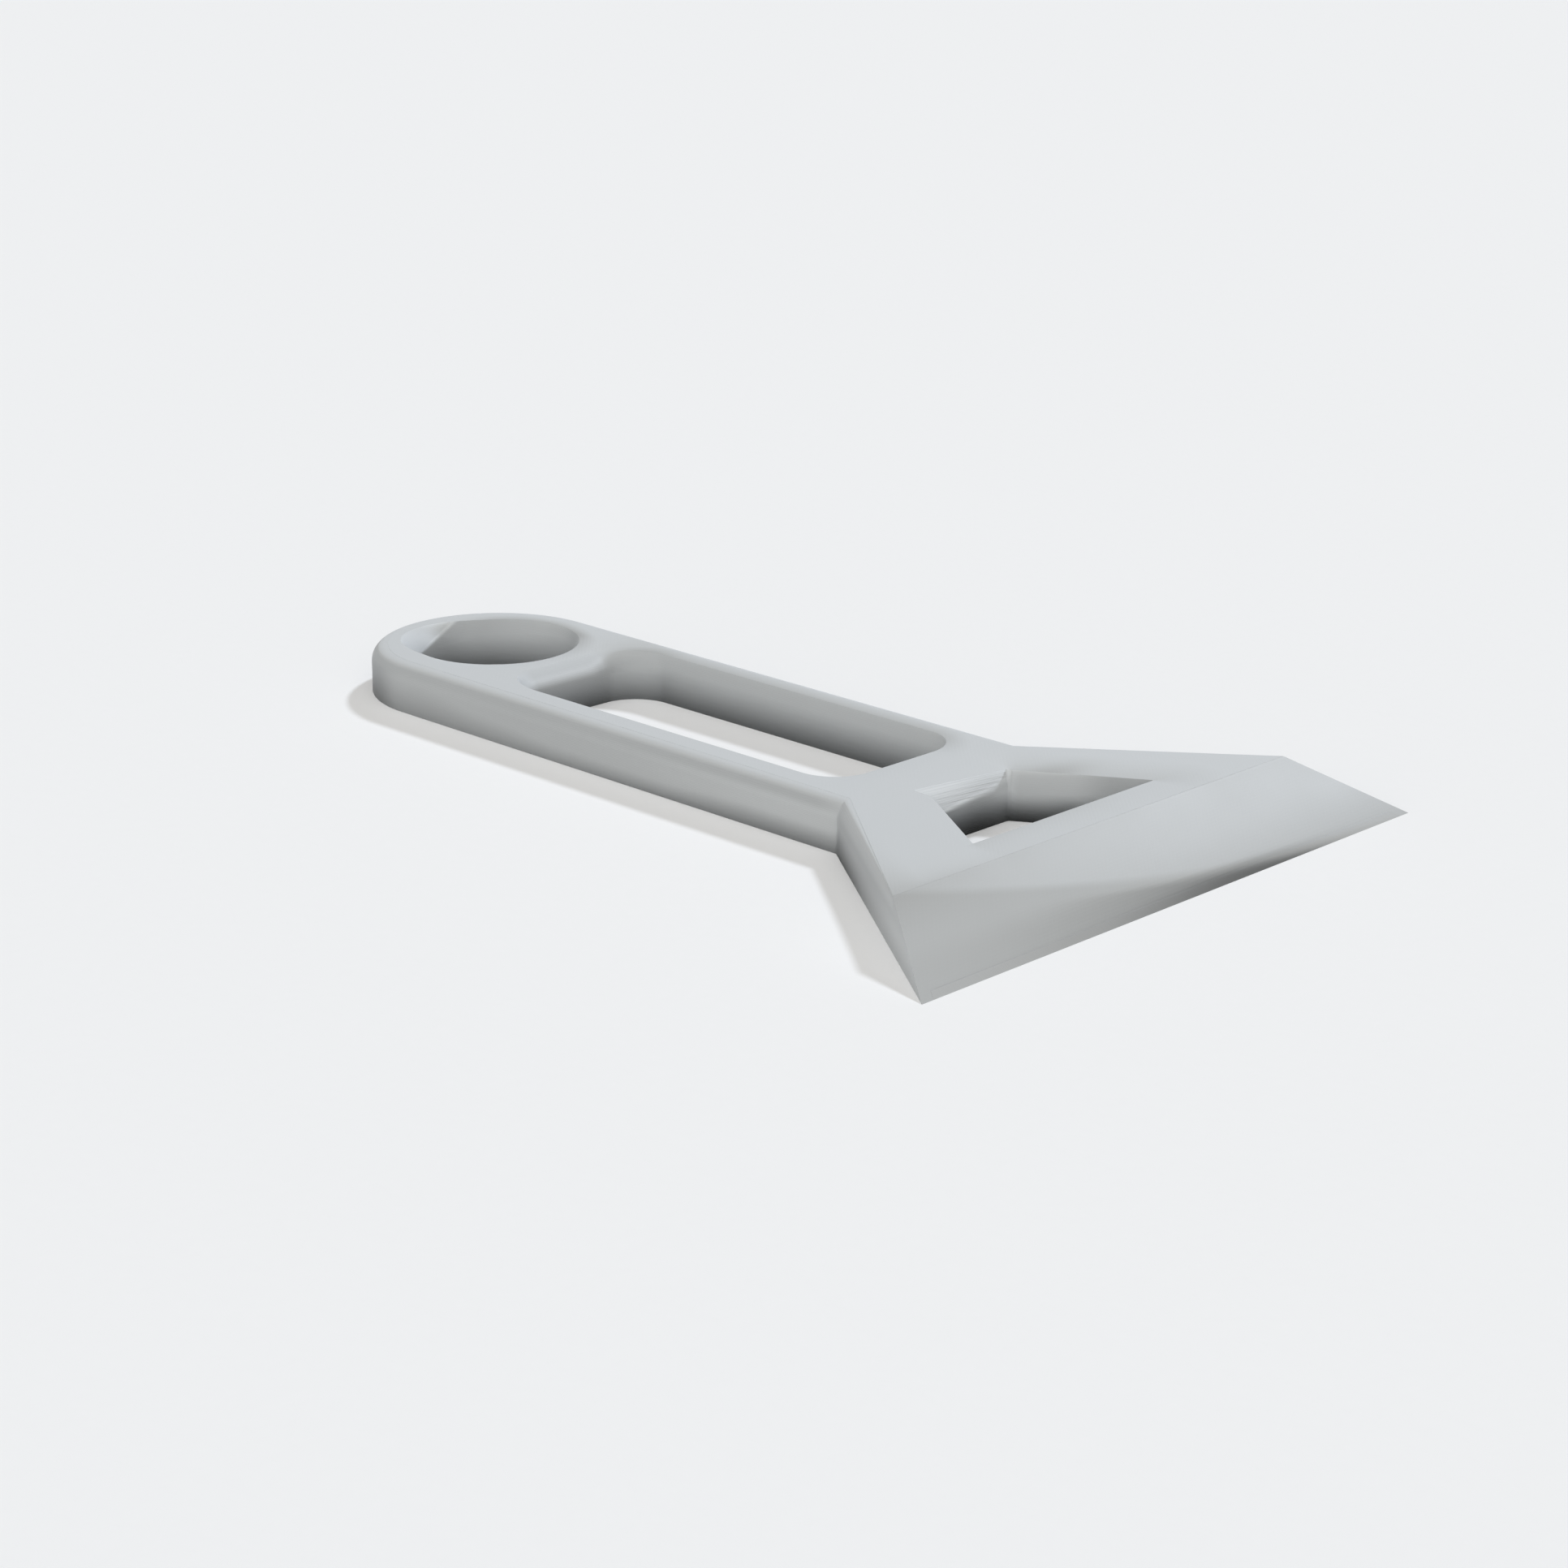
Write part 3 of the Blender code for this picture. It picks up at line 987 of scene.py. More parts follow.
WINDOW_CREASE_BEND = 0.14
CREASE_LOW = -0.0004
CREASE_HIGH = 0.0008
SLOT_CREASE_LOWER = 0.0001
SLOT_CREASE_HIGHER = 0.0008

# Painted light and shade: how much paler the plastic is painted on the handle's rounded edges, on the
# handle's near wall, along the flares, on the wide rims, and at the window's far wall with its two corners,
# where painted shade darkens the front corner and foot
ROUNDED_LOW_FACING = (0.03, 0.25)
ROUNDED_HIGH_FACING = (0.975, 0.998)
FAR_EDGE_TONE = 0.14
FAR_EDGE_FACING = (0.05, 0.35)
END_EDGE_TONE = 0.18
END_EDGE_FACING = (0.25, 0.9)
UPPER_WALL_TONE = 0.15
UPPER_WALL_SPAN = (0.028, 0.070)
UPPER_WALL_HEIGHTS = (0.0010, 0.0030)
FRONT_TONE = 0.20
FRONT_SPAN = (-0.008, 0.012)
LIT_BAND_TONE = 0.25
LIT_BAND_SPAN = (-0.012, 0.002)
LIT_BAND_HEIGHT = 0.0026
LIT_BAND_REACH = 0.0018
HOLE_RIM_TONE = 0.13
HOLE_RIM_LEFT_TONE = 0.35
HOLE_RIM_LEFT_SPAN = (-0.0035, 0.0015)
WINDOW_RIM_TONE = 0.25
WINDOW_RIM_LEFT_FALL = 0.06
WINDOW_RIM_LEFT_SPAN = (-0.004, 0.006)
WINDOW_RIM_FOOT_TONE = 0.22
WINDOW_RIM_FOOT_LEFT_FALL = 0.16
WINDOW_RIM_FOOT_FACING = (0.68, 0.84)
FAR_WALL_TONE = 0.06
FAR_WALL_HEIGHTS = (0.0020, 0.0036)
FRONT_CORNER_SHADE = 0.25
FRONT_CORNER_SPAN = (0.0055, 0.0100)
FRONT_FOOT_SHADE = 0.20
FRONT_FOOT_SPAN = (0.0030, 0.0060)
FRONT_FOOT_HEIGHTS = (0.0015, 0.0036)
BACK_CORNER_TONE = 0.08
BACK_CORNER_FOOT_TONE = 0.20
BACK_CORNER_FOOT_HEIGHT = 0.0045
BACK_CORNER_REACH = 0.0022
BACK_CORNER_SPAN = (0.0002, 0.0010)


def bell(*offsets):
    """1 in a soft spot's middle, falling all round. Offsets are shares of the spot's reach."""
    return (-sum(offset * offset for offset in offsets)).exponent()


def body_half_width(x):
    return flare_half_width(x.at_least(NECK_X))


def inner_share(x, y):
    """1 on the openings' walls and 0 on the outer ones."""
    back = (x - HOLE_X).at_most(0)
    from_axis = (back * back + y * y) ** 0.5
    return 1 - (from_axis / body_half_width(x)).step(*INNER_SPAN)


def wall_share(up):
    """1 on upright faces and 0 on the top, the nose and the underside."""
    return 1 - abs(up).step(*WALL_FACING)


def end_rim_share(x, side, up, inner):
    """1 on the openings' sloping end rims, which face along the tool, and 0 elsewhere."""
    tilted = up.step(*RIM_LOW_FACING) * (1 - up.step(*RIM_HIGH_FACING))
    return side.step(*RIM_END_FACING) * tilted * (x - FOLD_X < 0) * inner


def is_window(x):
    """0 on the handle and 1 past the neck."""
    return (x - NECK_X).step(*WINDOW_SPAN)


def is_ring(x):
    """1 at the hole's end and 0 from the hole's middle on."""
    return 1 - (x - HOLE_X).step(*RING_SPAN)


def is_slot(x):
    return (1 - is_ring(x)) * (1 - is_window(x))


def nose_lean(finish, x, y):
    """How far, and which way, the sloping face leans."""
    along = ((x - FOLD_X) / NOSE_LENGTH).at_least(0).at_most(1)
    across = y / body_half_width(x)
    to_edge = 1 - along
    curl = (to_edge / -BORDER_CURL_LENGTH).exponent() * BORDER_CURL
    inside = BORDER_START - BORDER_SLOPE * to_edge + curl - across
    spread = BORDER_SPREAD * along ** 3
    dark = ((inside + BORDER_SHIFT + spread) / (BORDER_SOFTNESS + spread)).step(0, 1)
    lit = (inside / LIT_REACH + 1).at_least(0).at_most(1) ** LIT_RISE * LIT_SHARE
    corner = ((-across - RIGHT_CORNER_START) / (1 - RIGHT_CORNER_START)).at_least(0)
    corner = corner * (1 - along / RIGHT_CORNER_LENGTH).at_least(0) * RIGHT_CORNER_SHARE
    near_share = lit + (1 - lit) * dark + corner
    late = ((along - FAR_LEAN_START) / (1 - FAR_LEAN_START)).at_least(0)
    far_share = (1 - near_share) * late ** FAR_LEAN_RISE * FAR_LEAN_SHARE

    off_dip = across - DIP_CENTRE + DIP_SLOPE * to_edge
    right_side = ((-off_dip).at_least(0) / DIP_RIGHT_WIDTH) ** DIP_RIGHT_FALL
    left_width = DIP_LEFT_WIDTH + DIP_LEFT_WIDENING * (along - DIP_LEFT_PLACE)
    left_side = off_dip.at_least(0) / left_width.at_least(DIP_LEFT_LEAST).at_most(DIP_LEFT_MOST)
    dip = (-right_side - left_side * left_side).exponent()
    depth = ((along - DIP_START).at_least(0) * DIP_DEPTH
             + (along - DIP_STEEP_START).at_least(0) * DIP_STEEP_DEPTH)
    lean = finish.sum_of(finish.scaled(NEAR_LEAN, near_share), finish.scaled(FAR_LEAN, far_share))
    return finish.sum_of(lean, finish.scaled(DIP_LEAN, dip * depth))


def rim_lean(finish, x, y, start, end, half_width, radius, lean, left_lean, reach):
    """The turn of the top towards one opening, given by its ends, half width and corner radius."""
    out_x = (x - (end - radius)).at_least(0) - (start + radius - x).at_least(0)
    out_y = (abs(y) - (half_width - radius)).at_least(0) * y.math("SIGN")
    length = (out_x * out_x + out_y * out_y + NOT_ZERO) ** 0.5
    way_x = out_x / length
    way_y = out_y / length
    near_rim = (1 - (length - radius) / reach).at_least(0).at_most(1)
    lean = way_y.step(*LEFT_RIM_FACING).at_least(way_x) * lean + way_y.at_least(0) * left_lean
    return finish.vector(-way_x * near_rim * lean, -way_y * near_rim * lean, 0)


def window_half_width(x):
    slope = (WINDOW_FRONT_WIDTH - WINDOW_BACK_WIDTH) / 2 / WINDOW_LENGTH
    return (x - WINDOW_START_X).at_least(0).at_most(WINDOW_LENGTH) * slope + WINDOW_BACK_WIDTH / 2


def opening_lean(finish, x, y):
    """The turn of the top towards all three openings."""
    deep = bell((x - WINDOW_START_X - WINDOW_DEEP_X) / WINDOW_DEEP_REACH) * WINDOW_DEEP_LEAN
    lean, left_lean, reach = WINDOW_RIM_LEAN
    leans = [rim_lean(finish, x, y, *opening) for opening in (
        (HOLE_X - HOLE_RADIUS, HOLE_X + HOLE_RADIUS, HOLE_RADIUS, HOLE_RADIUS, *HOLE_RIM_LEAN),
        (SLOT_START_X, SLOT_END_X, SLOT_HALF_WIDTH, SLOT_CORNER_RADIUS, *SLOT_RIM_LEAN),
        (WINDOW_START_X, WINDOW_END_X, window_half_width(x), 0, lean, deep + left_lean, reach))]
    return finish.sum_of(finish.sum_of(leans[0], leans[1]), leans[2])


def fold_lean(x, y):
    """The turn to the right of the top by the fold's right end and by the window's front, and of
    the nose's beginning."""
    off_fold = x - FOLD_X
    across = y / body_half_width(x)
    on_nose = off_fold.step(-CRISP, CRISP)
    near_share = ((-across - FOLD_LEAN_START) / FOLD_LEAN_WIDTH).at_least(0) ** FOLD_LEAN_RISE
    reach = FOLD_REACH + FOLD_CORNER_REACH * ((-across - FOLD_CORNER_START) / FOLD_CORNER_WIDTH).at_least(0)
    top = (off_fold.at_most(0) / reach).exponent() * near_share * (1 - on_nose) * FOLD_LEAN
    nose = (off_fold.at_least(0) / -NOSE_START_REACH).exponent() * on_nose * NOSE_START_LEAN
    off_window = x - WINDOW_END_X
    on_bar = off_window.step(-CRISP, CRISP) * y.step(*BAR_RIGHT_SPAN) * (1 - y.step(*BAR_LEFT_SPAN))
    bar = (off_window.at_least(0) / -BAR_REACH).exponent() * on_bar * BAR_LEAN
    return top + nose + bar


def crease_depth(x, y):
    """How far down the wide rim reaches in the hole, in the slot and in the window."""
    away = ((x - HOLE_X) ** 2 + y * y) ** 0.5
    outwards = (x - HOLE_X) * math.cos(CREASE_WAY) + y * math.sin(CREASE_WAY)
    in_hole = (outwards / away - HOLE_CREASE_LEAST) * HOLE_CREASE_DEPTH
    in_hole = in_hole + (away - HOLE_RADIUS).at_least(0)
    in_slot = SLOT_CREASE_DEPTH - (y - SLOT_CREASE_BEND_Y).at_least(0) * SLOT_CREASE_BEND
    in_window = WINDOW_CREASE_DEPTH - y * WINDOW_CREASE_SLOPE
    in_window = in_window - (y - WINDOW_CREASE_BEND_Y).at_least(0) * WINDOW_CREASE_BEND
    return in_hole * is_ring(x) + in_slot * is_slot(x) + in_window * is_window(x)


def above_crease(x, y, z):
    """1 on the wide rims, falling to 0 at their creases, most softly in the slot."""
    slot = is_slot(x)
    low = CREASE_LOW - SLOT_CREASE_LOWER * slot
    return (z - THICKNESS + crease_depth(x, y)).step(low, CREASE_HIGH + SLOT_CREASE_HIGHER * slot)


def wall_turn(x, y, z, side, leftward):
    """How far a wall turns down, in degrees: most at its foot."""
    inner = inner_share(x, y)
    window = is_window(x)
    past_hole = x - HOLE_X
    past_neck = x - NECK_X
    past_back = (x - WINDOW_START_X).at_least(0)
    hole = 1 - past_hole.step(*HOLE_WALL_SPAN)
    handle = past_hole.step(*HANDLE_SPAN)
    middle = past_hole.step(*MIDDLE_START_SPAN) * (1 - past_hole.step(*MIDDLE_END_SPAN))
    neck = past_hole.step(*NECK_SPAN)
    flare = past_neck.step(*FLARE_SPAN)
    end = 1 - past_hole.step(*END_SPAN)
    corner = ((side - leftward) * CORNER_FACING - CORNER_START) / CORNER_SOFTNESS
    left_corner = y.step(*LEFT_CORNER_SPAN) * side.step(*LEFT_CORNER_FACING) * LEFT_CORNER_SHARE
    corner = (corner.at_least(0) + left_corner).at_most(1) * (1 - window)
    left_half = y.step(*LEFT_HALF_SPAN) * window

    outer_foot = (OUTER_FOOT_TURN + NECK_FOOT_TURN * neck + FLARE_START_TURN * flare
                  + FLARE_FRONT_TURN * past_neck.step(*FLARE_FRONT_SPAN))
    outer_upright = (OUTER_UPRIGHT + SIDE_UPRIGHT * handle + MIDDLE_UPRIGHT * middle
                     + NECK_UPRIGHT * neck + FLARE_UPRIGHT * flare)
    inner_foot = (INNER_FOOT_TURN + INNER_SIDE_TURN * side.at_least(0) + CORNER_TURN * corner
                  + HOLE_FOOT_TURN * hole * (1 - corner) + WINDOW_FOOT_TURN * window
                  + WINDOW_CORNER_TURN * left_half)
    window_upright = (WINDOW_UPRIGHT + WINDOW_SIDE_UPRIGHT * past_back.step(*WINDOW_SIDE_SPAN)
                      + WINDOW_SIDE_RISE * past_back)
    inner_upright = INNER_UPRIGHT + CORNER_UPRIGHT * corner + window_upright * left_half
    foot = outer_foot + inner * (inner_foot - outer_foot)
    upright = outer_upright + inner * (inner_upright - outer_upright)
    highest = (HIGHEST_TURN + inner * (WINDOW_HIGHEST_TURN * window + CORNER_HIGHEST_TURN * corner)
               + (1 - inner) * FLARE_HIGHEST_TURN * flare)
    turn = (foot * (1 - z / upright)).at_least(DEEPEST_TURN).at_most(highest)
    return turn + END_TURN * end * (1 - inner)


def leaning_normal(finish):
    """The shading's direction: the surface's own, leaning softly over the nose, rims and walls."""
    x, y, z = finish.split(finish.place())
    side, leftward, up = finish.split(finish.facing())
    inner = inner_share(x, y)
    end_rim = end_rim_share(x, side, up, inner)
    above = above_crease(x, y, z)
    slope = end_rim * above
    slope_share = SLOPE_SHARE + is_slot(x) * (SLOT_SLOPE_SHARE - SLOPE_SHARE)
    far_rim = (-leftward).step(*FAR_RIM_LEFT_FACING) * up.step(*FAR_RIM_LOW_FACING) * inner
    far_rim = far_rim * (1 - up.step(*FAR_RIM_HIGH_FACING)) * (1 - end_rim)
    up = up * (1 - end_rim * (1 - above) * (1 - BELOW_CREASE_SHARE))
    up = up * (1 - far_rim * (1 - FAR_RIM_SHARE))
    fall = up * up.step(*EDGE_FALL_LOW_FACING) * (1 - up.step(*EDGE_FALL_HIGH_FACING)) * (1 - inner)
    fall = fall * (1 - (x - NECK_X).step(*EDGE_FALL_SPAN)) * -EDGE_FALL
    leaning = finish.vector(side * (1 - slope * (1 - slope_share)), leftward, up + fall)

    on_nose = up.step(*NOSE_FACING) * (x - FOLD_X).step(-CRISP, CRISP)
    on_top = up.step(*TOP_FACING) * (1 - slope)
    slot_spot = bell((x - SLOT_START_X) / SLOT_SPOT_REACH, (y - SLOT_HALF_WIDTH) / SLOT_SPOT_REACH)
    spot_x = HOLE_X + HOLE_RADIUS * math.cos(HOLE_SPOT_WAY)
    spot_y = HOLE_RADIUS * math.sin(HOLE_SPOT_WAY)
    hole_spot = bell((x - spot_x) / HOLE_SPOT_REACH[0], (y - spot_y) / HOLE_SPOT_REACH[1])
    for lean, share in ((nose_lean(finish, x, y), on_nose), (opening_lean(finish, x, y), on_top),
                        (SLOT_SPOT_LEAN, slot_spot * on_top), (HOLE_SPOT_LEAN, hole_spot * on_top),
                        (finish.vector(0, fold_lean(x, y), 0), on_top)):
        leaning = finish.sum_of(leaning, finish.scaled(lean, share))

    turn = wall_turn(x, y, z, side, leftward) + hole_spot * HOLE_SPOT_TURN
    turn = turn * wall_share(up) * math.radians(1)
    leaning = finish.sum_of(finish.scaled(leaning, turn.cosine()), finish.vector(0, 0, turn.sine()))
    return finish.to_world(finish.unit(leaning))


def outer_painted_light(x, z, side, leftward, up, outer):
    """Painted light: how much paler the plastic is painted on the handle's rounded edges and on the outer
    walls.
    """
    wall = wall_share(up)
    off_fold = x - FOLD_X
    rounded = up.step(*ROUNDED_LOW_FACING) * (1 - up.step(*ROUNDED_HIGH_FACING)) * outer * (off_fold < 0)
    far = leftward.step(*FAR_EDGE_FACING) * FAR_EDGE_TONE
    end = (-side).step(*END_EDGE_FACING) * END_EDGE_TONE
    front = off_fold.step(*FRONT_SPAN) * FRONT_TONE
    # Painted light: a band of light at the flare wall's middle height, towards the front
    lit_band = off_fold.step(*LIT_BAND_SPAN) * bell((z - LIT_BAND_HEIGHT) / LIT_BAND_REACH) * LIT_BAND_TONE
    handle = (x - HOLE_X).step(*UPPER_WALL_SPAN) * (1 - (x - NECK_X).step(*FLARE_SPAN))
    upper = handle * z.step(*UPPER_WALL_HEIGHTS) * outer * UPPER_WALL_TONE
    return rounded * far.at_least(end) + (front + lit_band + upper) * wall


def rim_painted_light(x, y, up, inner):
    """Painted light: how much paler the plastic is painted on the wide rims of the hole and of the window.
    """
    in_hole = HOLE_RIM_TONE + HOLE_RIM_LEFT_TONE * y.step(*HOLE_RIM_LEFT_SPAN)
    left = y.step(*WINDOW_RIM_LEFT_SPAN)
    foot = 1 - up.step(*WINDOW_RIM_FOOT_FACING)
    in_window = (WINDOW_RIM_TONE - WINDOW_RIM_LEFT_FALL * left
                 + foot * (WINDOW_RIM_FOOT_TONE - WINDOW_RIM_FOOT_LEFT_FALL * left))
    return in_hole * is_ring(x) + in_window * is_window(x) * inner


def window_painted_light_and_shade(x, y, z, up, end_rim):
    """Painted light and painted shade: how much paler or darker the plastic is painted on the window's far
    wall and in its corners.
    """
    wall = wall_share(up)
    past_back = x - WINDOW_START_X
    corner = past_back.step(*FRONT_CORNER_SPAN) * FRONT_CORNER_SHADE
    foot = past_back.step(*FRONT_FOOT_SPAN) * (1 - z.step(*FRONT_FOOT_HEIGHTS)) * FRONT_FOOT_SHADE
    far_wall = z.step(*FAR_WALL_HEIGHTS) * FAR_WALL_TONE - corner.at_least(foot)
    far_wall = far_wall * y.step(*LEFT_HALF_SPAN) * wall
    low = (1 - z / BACK_CORNER_FOOT_HEIGHT).at_least(0)
    back_corner = bell((y - WINDOW_BACK_WIDTH / 2) / BACK_CORNER_REACH)
    back_corner = back_corner * (1 - past_back.step(*BACK_CORNER_SPAN))
    back_corner = back_corner * (BACK_CORNER_TONE + BACK_CORNER_FOOT_TONE * low)
    return (far_wall + back_corner * wall.at_least(end_rim)) * is_window(x)


def printed_plastic():
    """Light grey plastic laid down in fine layers, matt and slightly uneven, with painted light and painted
    shade on its edges, rims and walls.
    """
    finish = Finish("light grey printed plastic")
    place = finish.place()
    x, y, z = finish.split(place)
    side, leftward, up = finish.split(finish.facing())
    flat = abs(up).step(*FLAT_FACING)

    waver = finish.noise(place, WAVER_SCALE, detail=3)
    layers = (z * (2 * math.pi / LAYER_HEIGHT) + waver * LAYER_WAVER).sine()
    raster = ((x + y) * (2 * math.pi / RASTER_PITCH / math.sqrt(2)) + waver * RASTER_WAVER).sine()
    grain = finish.noise(place, GRAIN_SCALE)
    relief = layers * (1 - flat) * LAYER_RELIEF + raster * flat * RASTER_RELIEF + grain * GRAIN_RELIEF

    inner = inner_share(x, y)
    end_rim = end_rim_share(x, side, up, inner)
    # Painted shade: the openings' walls are painted darker towards their foot, most in the window
    low = (1 - z / FOOT_SHADE_HEIGHT).at_least(0) ** FOOT_SHADE_FALL * wall_share(up)
    foot_shade = low * inner * (FOOT_SHADE + WINDOW_FOOT_SHADE * is_window(x))
    cloud = finish.noise(place, CLOUD_SCALE)
    tone = (1 + (cloud - 0.5) * CLOUD_TONE + (grain - 0.5) * GRAIN_TONE) * (1 - foot_shade)
    # Painted light on the rounded edges, outer walls and wide rims, and painted light and shade in the
    # window
    paler = (outer_painted_light(x, z, side, leftward, up, 1 - inner)
             + rim_painted_light(x, y, up, inner) * end_rim * above_crease(x, y, z)
             + window_painted_light_and_shade(x, y, z, up, end_rim) * inner)
    finish.give(Base_Color=finish.scaled(PLASTIC_COLOUR, tone * (1 + paler)), Metallic=0.0,
                Roughness=PLASTIC_ROUGHNESS + (cloud - 0.5) * CLOUD_ROUGHNESS,
                Normal=finish.bump(relief, 1.0, leaning_normal(finish)))
    return finish.material


STEEL_COLOUR = (0.53, 0.55, 0.565)
STEEL_TONE = 0.88
STEEL_MARK_TONE = 0.16
STEEL_CLOUD_TONE = 0.08
STEEL_CLOUD_SCALE = 90
STEEL_ROUGHNESS = 0.55
STEEL_MARK_ROUGHNESS = 0.12
BEVEL_ROUGHNESS = 0.12
BEVEL_DULLING = 0.88
BEVEL_FACING = (0, 0.2)
MARK_RELIEF = 0.000002
BRUSHED_SCALE = (6000, 120, 150)
GROUND_SCALE = (150, 6000, 150)


def blade_steel():
    """Satin spring steel, brushed along the blade and ground across at its bevel."""
    finish = Finish("satin blade steel")
    place = finish.place()
    x, _, _ = finish.split(place)
    _, _, up = finish.split(finish.facing())
    ground, brushed = (finish.noise(finish.stretched(place, scale), 1, detail=3, roughness=0.6)
                       for scale in (GROUND_SCALE, BRUSHED_SCALE))
    bevel = (x - nose_x(BLADE_THICKNESS)).step(-CRISP, CRISP) * up.step(*BEVEL_FACING)
    marks = ground * bevel + brushed * (1 - bevel)
    cloud = finish.noise(place, STEEL_CLOUD_SCALE, detail=3)
    tone = STEEL_TONE + marks * STEEL_MARK_TONE + cloud * STEEL_CLOUD_TONE
    finish.give(Base_Color=finish.scaled(STEEL_COLOUR, tone), Metallic=1 - BEVEL_DULLING * bevel,
                Roughness=STEEL_ROUGHNESS + marks * STEEL_MARK_ROUGHNESS + bevel * BEVEL_ROUGHNESS,
                Normal=finish.bump(marks, MARK_RELIEF, leaning_normal(finish)))
    return finish.material


SCREW_COLOUR = (0.16, 0.16, 0.17)
WORN_SCREW_COLOUR = (0.24, 0.24, 0.25)
SCREW_WEAR = (0.35, 0.7)
SCREW_ROUGHNESS = 0.34
SMUDGE_ROUGHNESS = 0.2
SMUDGE_SCALE = 1400
TURNING_PITCH = 0.00012
TURNING_RELIEF = 0.0000012


def screw_steel(spacing):
    """Dark oiled steel, turned on the head, so that fine rings run round each screw."""
    finish = Finish("dark screw steel")
    place = finish.place()
    x, y, z = finish.split(place)
    screw_x, _ = screw_place("middle")
    side = y.math("WRAP", spacing / 2, -spacing / 2)
    away = ((x - screw_x) ** 2 + side * side) ** 0.5
    rings = (away * (2 * math.pi / TURNING_PITCH)).sine()
    smudge = finish.noise(place, SMUDGE_SCALE, detail=3)
    finish.give(Base_Color=finish.blend(smudge.step(*SCREW_WEAR), SCREW_COLOUR, WORN_SCREW_COLOUR),
                Metallic=1.0, Roughness=SCREW_ROUGHNESS + smudge * SMUDGE_ROUGHNESS,
                Normal=finish.bump(rings + smudge, TURNING_RELIEF))
    return finish.material


BRASS_COLOUR = (0.70, 0.52, 0.23)
DULL_BRASS_COLOUR = (0.52, 0.37, 0.16)
BRASS_DULLING = (0.4, 0.7)
BRASS_ROUGHNESS = 0.28
DULL_ROUGHNESS = 0.25
DULL_SCALE = 1800
BRASS_RELIEF = 0.000003


def insert_brass():
    """Brass that has dulled in patches."""
    finish = Finish("insert brass")
    place = finish.place()
    dull = finish.noise(place, DULL_SCALE, detail=3)
    finish.give(Base_Color=finish.blend(dull.step(*BRASS_DULLING), BRASS_COLOUR, DULL_BRASS_COLOUR),
                Metallic=1.0, Roughness=BRASS_ROUGHNESS + dull * DULL_ROUGHNESS,
                Normal=finish.bump(dull, BRASS_RELIEF))
    return finish.material


# Camera, lamps and floor

# Where the camera stands, seen from the point that it looks at, and its lens
PHOTO_AZIMUTH = math.radians(43.842)
PHOTO_ELEVATION = math.radians(18.251)
PHOTO_ROLL = math.radians(0.6225)
PHOTO_DISTANCE = 0.37956
PHOTO_TARGET = Vector((0.005511, -0.001906, 0))
LENS_MM = 77.509
FILM_WIDTH_MM = 36
NEAREST = 0.01
FARTHEST = 100

# A lamp on the left (+Y), behind the tool for the camera, and a soft sky, brighter on the right (-Y)
LIGHT_FROM = Vector((-0.10, 0.43, 0.387)).normalized()
SUN_STRENGTH = 1.46
SUN_COLOUR = (0.945, 1.0, 1.075)
SUN_ANGLE = math.radians(6)
SKY_COLOUR = (1.027, 1.007, 0.967)
SKY_STRENGTH = 0.36
FRONT_STRENGTH = 0.92
FRONT_FROM = Vector((0.25, -0.85, 0.32)).normalized()

# The floor's colour for the camera and for the light that it throws back, its faint paper grain, and
# how far it glows with painted light where the object hides the sky, to even out the sky's shade on it
FLOOR_COLOUR = (0.871, 0.880, 0.896)
FLOOR_BOUNCE = (0.28, 0.28, 0.28)
FLOOR_SIZE = 6
PAPER_SCALE = 700
PAPER_TONE = 0.012
FLOOR_TONE = 1.005
OPEN_SKY_SHARE = 0.664
SHADOW_EVENING = 0.33
SHADOW_REACH = 0.06
SHADOW_SAMPLES = 16


def make_camera():
    back = Vector((math.sin(PHOTO_AZIMUTH) * math.cos(PHOTO_ELEVATION),
                   -math.cos(PHOTO_AZIMUTH) * math.cos(PHOTO_ELEVATION),
                   math.sin(PHOTO_ELEVATION)))
    level = Vector((math.cos(PHOTO_AZIMUTH), math.sin(PHOTO_AZIMUTH), 0))
    upright = back.cross(level)
    right = math.cos(PHOTO_ROLL) * level + math.sin(PHOTO_ROLL) * upright
    up = math.cos(PHOTO_ROLL) * upright - math.sin(PHOTO_ROLL) * level
    lens = bpy.data.cameras.new("camera")
    lens.lens = LENS_MM
    lens.sensor_width = FILM_WIDTH_MM
    lens.clip_start = NEAREST
    lens.clip_end = FARTHEST
    camera = bpy.data.objects.new("camera", lens)
    turn = Matrix((right, up, back)).transposed().to_4x4()
    camera.matrix_world = Matrix.Translation(PHOTO_TARGET + back * PHOTO_DISTANCE) @ turn
    bpy.context.scene.collection.objects.link(camera)
    bpy.context.scene.camera = camera


def make_sun():
    sun = bpy.data.lights.new("sun", "SUN")
    sun.energy = SUN_STRENGTH
    sun.color = SUN_COLOUR
    sun.angle = SUN_ANGLE
    lamp = bpy.data.objects.new("sun", sun)
    lamp.rotation_euler = LIGHT_FROM.to_track_quat("Z", "Y").to_euler()
    bpy.context.scene.collection.objects.link(lamp)


class Sky(Finish):
    """The world's nodes, which light the object softly and look pale to the camera."""

    def __init__(self):
        world = bpy.data.worlds.new("soft sky")
        world.use_nodes = True
        bpy.context.scene.world = world
        self.tree = world.node_tree
        self.shader = self.tree.nodes["Background"]


def seen_share(finish):
    """1 for rays from the camera and for reflections, 0 for light that scatters."""
    path = finish.tree.nodes.new("ShaderNodeLightPath")
    seen = [Value(finish, path.outputs[name]) for name in
            ("Is Camera Ray", "Is Glossy Ray", "Is Transmission Ray")]
    return seen[0].at_least(seen[1]).at_least(seen[2])


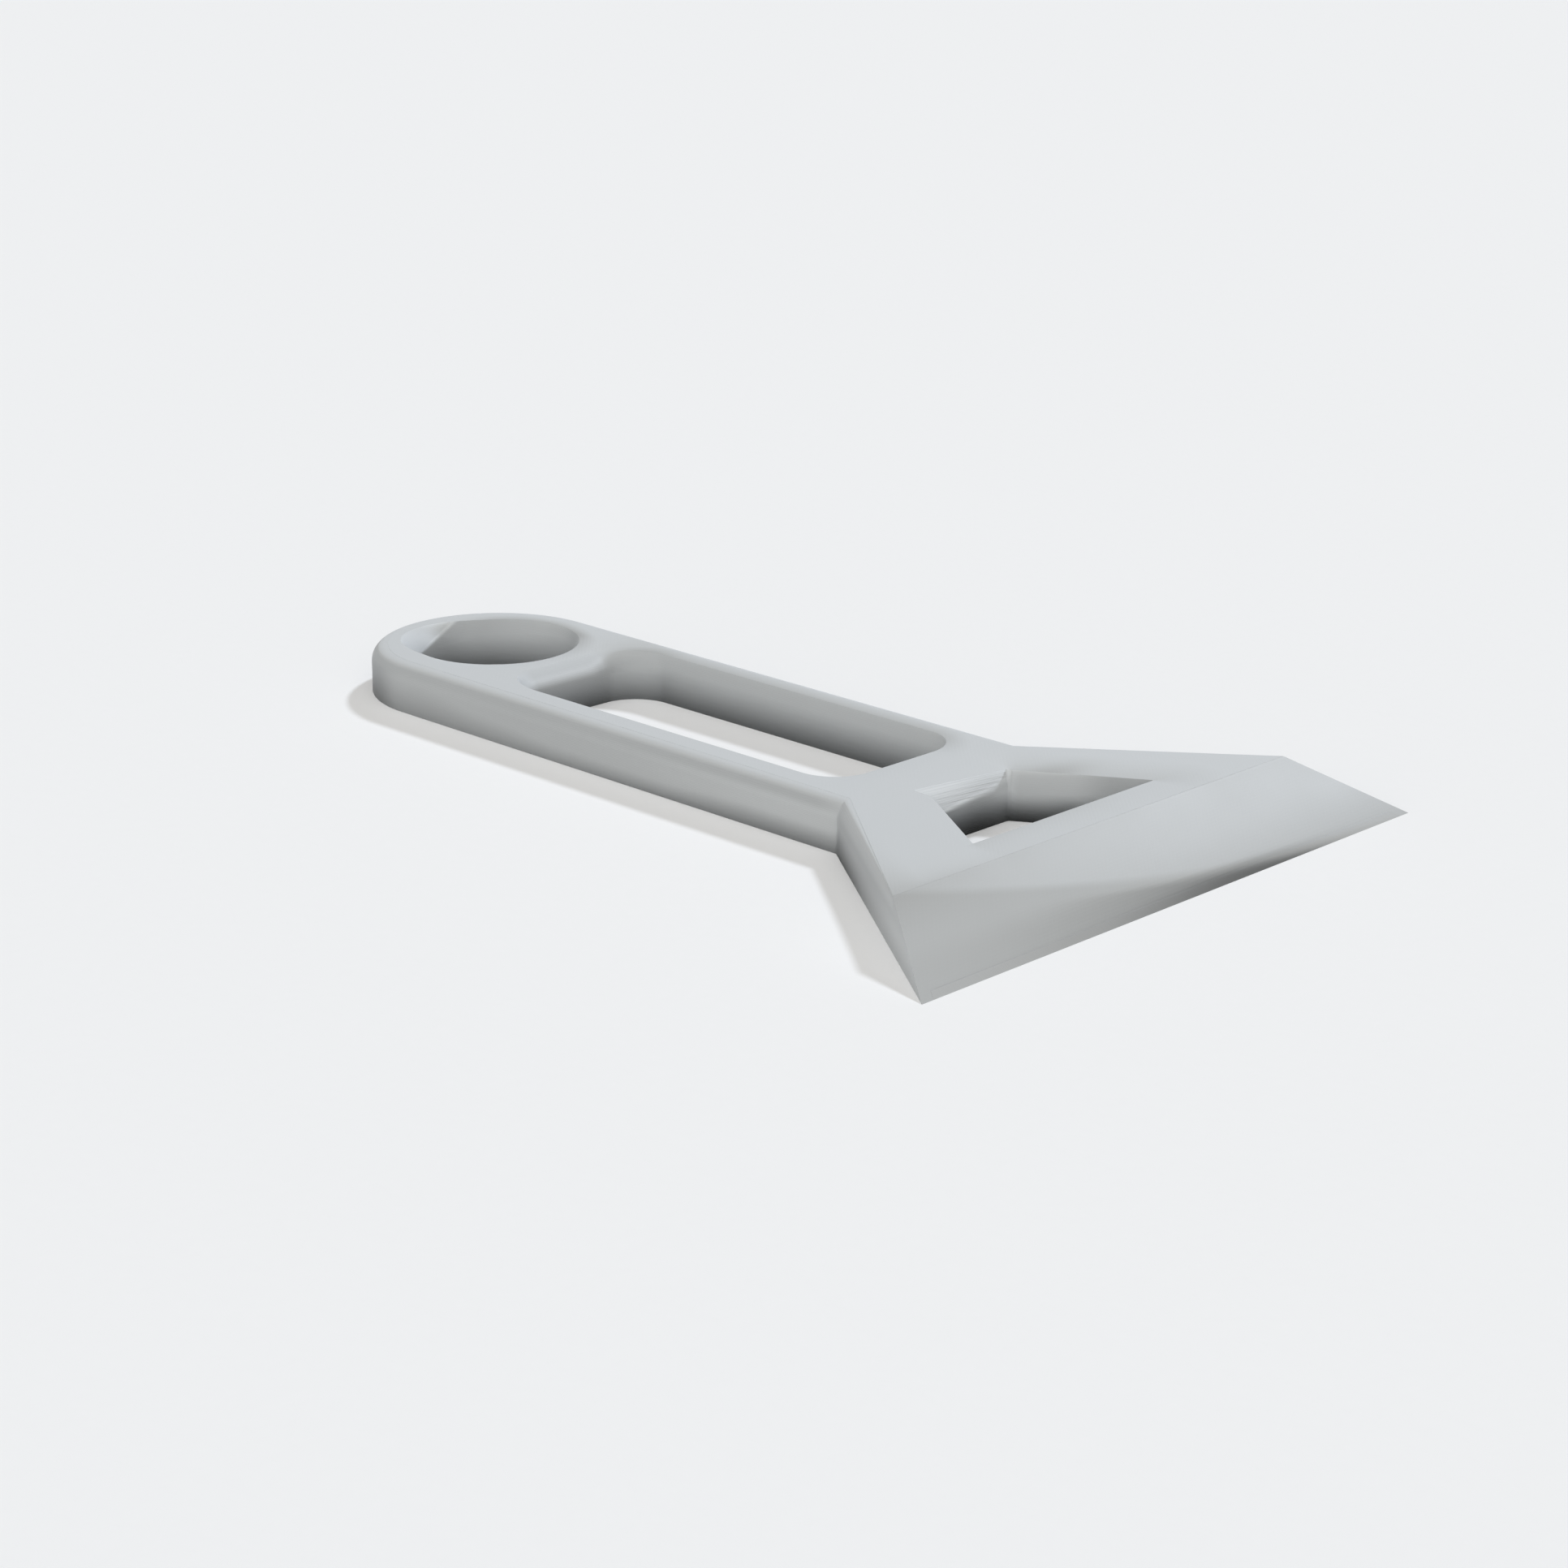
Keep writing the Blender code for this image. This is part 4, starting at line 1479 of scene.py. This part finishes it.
def make_sky():
    sky = Sky()
    way = sky.node("ShaderNodeTexCoord", output="Generated")
    front = sky.node("ShaderNodeVectorMath", {"operation": "DOT_PRODUCT"}, {0: way, 1: FRONT_FROM},
                     output="Value")
    strength = front.at_least(0) * FRONT_STRENGTH + SKY_STRENGTH
    lit = sky.scaled(SKY_COLOUR, strength)
    sky.give(Color=sky.blend(seen_share(sky), lit, FLOOR_COLOUR))


def make_floor():
    """A pale floor that keeps the lamp's shadow, and glows with painted light where the object hides the
    sky, so that the sky's shade on it is evened out.
    """
    bpy.ops.mesh.primitive_plane_add(size=FLOOR_SIZE, location=(0, 0, 0))
    floor = start_piece("floor")
    finish = Finish("pale floor")
    seen = seen_share(finish)
    paper = finish.noise(finish.place(), PAPER_SCALE, detail=3)
    pale = finish.scaled(FLOOR_COLOUR, (1 + (paper - 0.5) * PAPER_TONE) * FLOOR_TONE)
    open_share = finish.node("ShaderNodeAmbientOcclusion", {"samples": SHADOW_SAMPLES},
                             {"Distance": SHADOW_REACH}, output="AO")
    # Painted light: the floor glows with a share of the sky light that the object hides from it
    missing = (1 - open_share) * (OPEN_SKY_SHARE * SHADOW_EVENING)
    finish.give(Base_Color=finish.blend(seen, FLOOR_BOUNCE, pale), Roughness=1.0,
                Specular_IOR_Level=0.0, Emission_Color=FLOOR_COLOUR, Emission_Strength=missing * seen)
    floor.data.materials.append(finish.material)


make_camera()
make_sun()
make_sky()
make_floor()
bpy.context.scene.view_settings.view_transform = "Standard"

dress(make_body(), printed_plastic(), "scraper_body")
dress(make_blade(), blade_steel(), "scraper_blade")
middle_x, middle_y = screw_place("middle")
screw_finish = screw_steel(screw_place("left")[1])
brass = insert_brass()
screws = {"middle": make_screw()}
inserts = {"middle": make_insert()}
for side in ("left", "right"):
    x, y = screw_place(side)
    move = (x - middle_x, y - middle_y, 0)
    screws[side] = copy_to(screws["middle"], "countersunk_screw_" + side, move)
    inserts[side] = copy_to(inserts["middle"], "brass_insert_" + side, move)
for side in SIDES:
    dress(screws[side], screw_finish, "blade_screw_" + side)
    dress(inserts[side], brass, "threaded_insert_" + side)
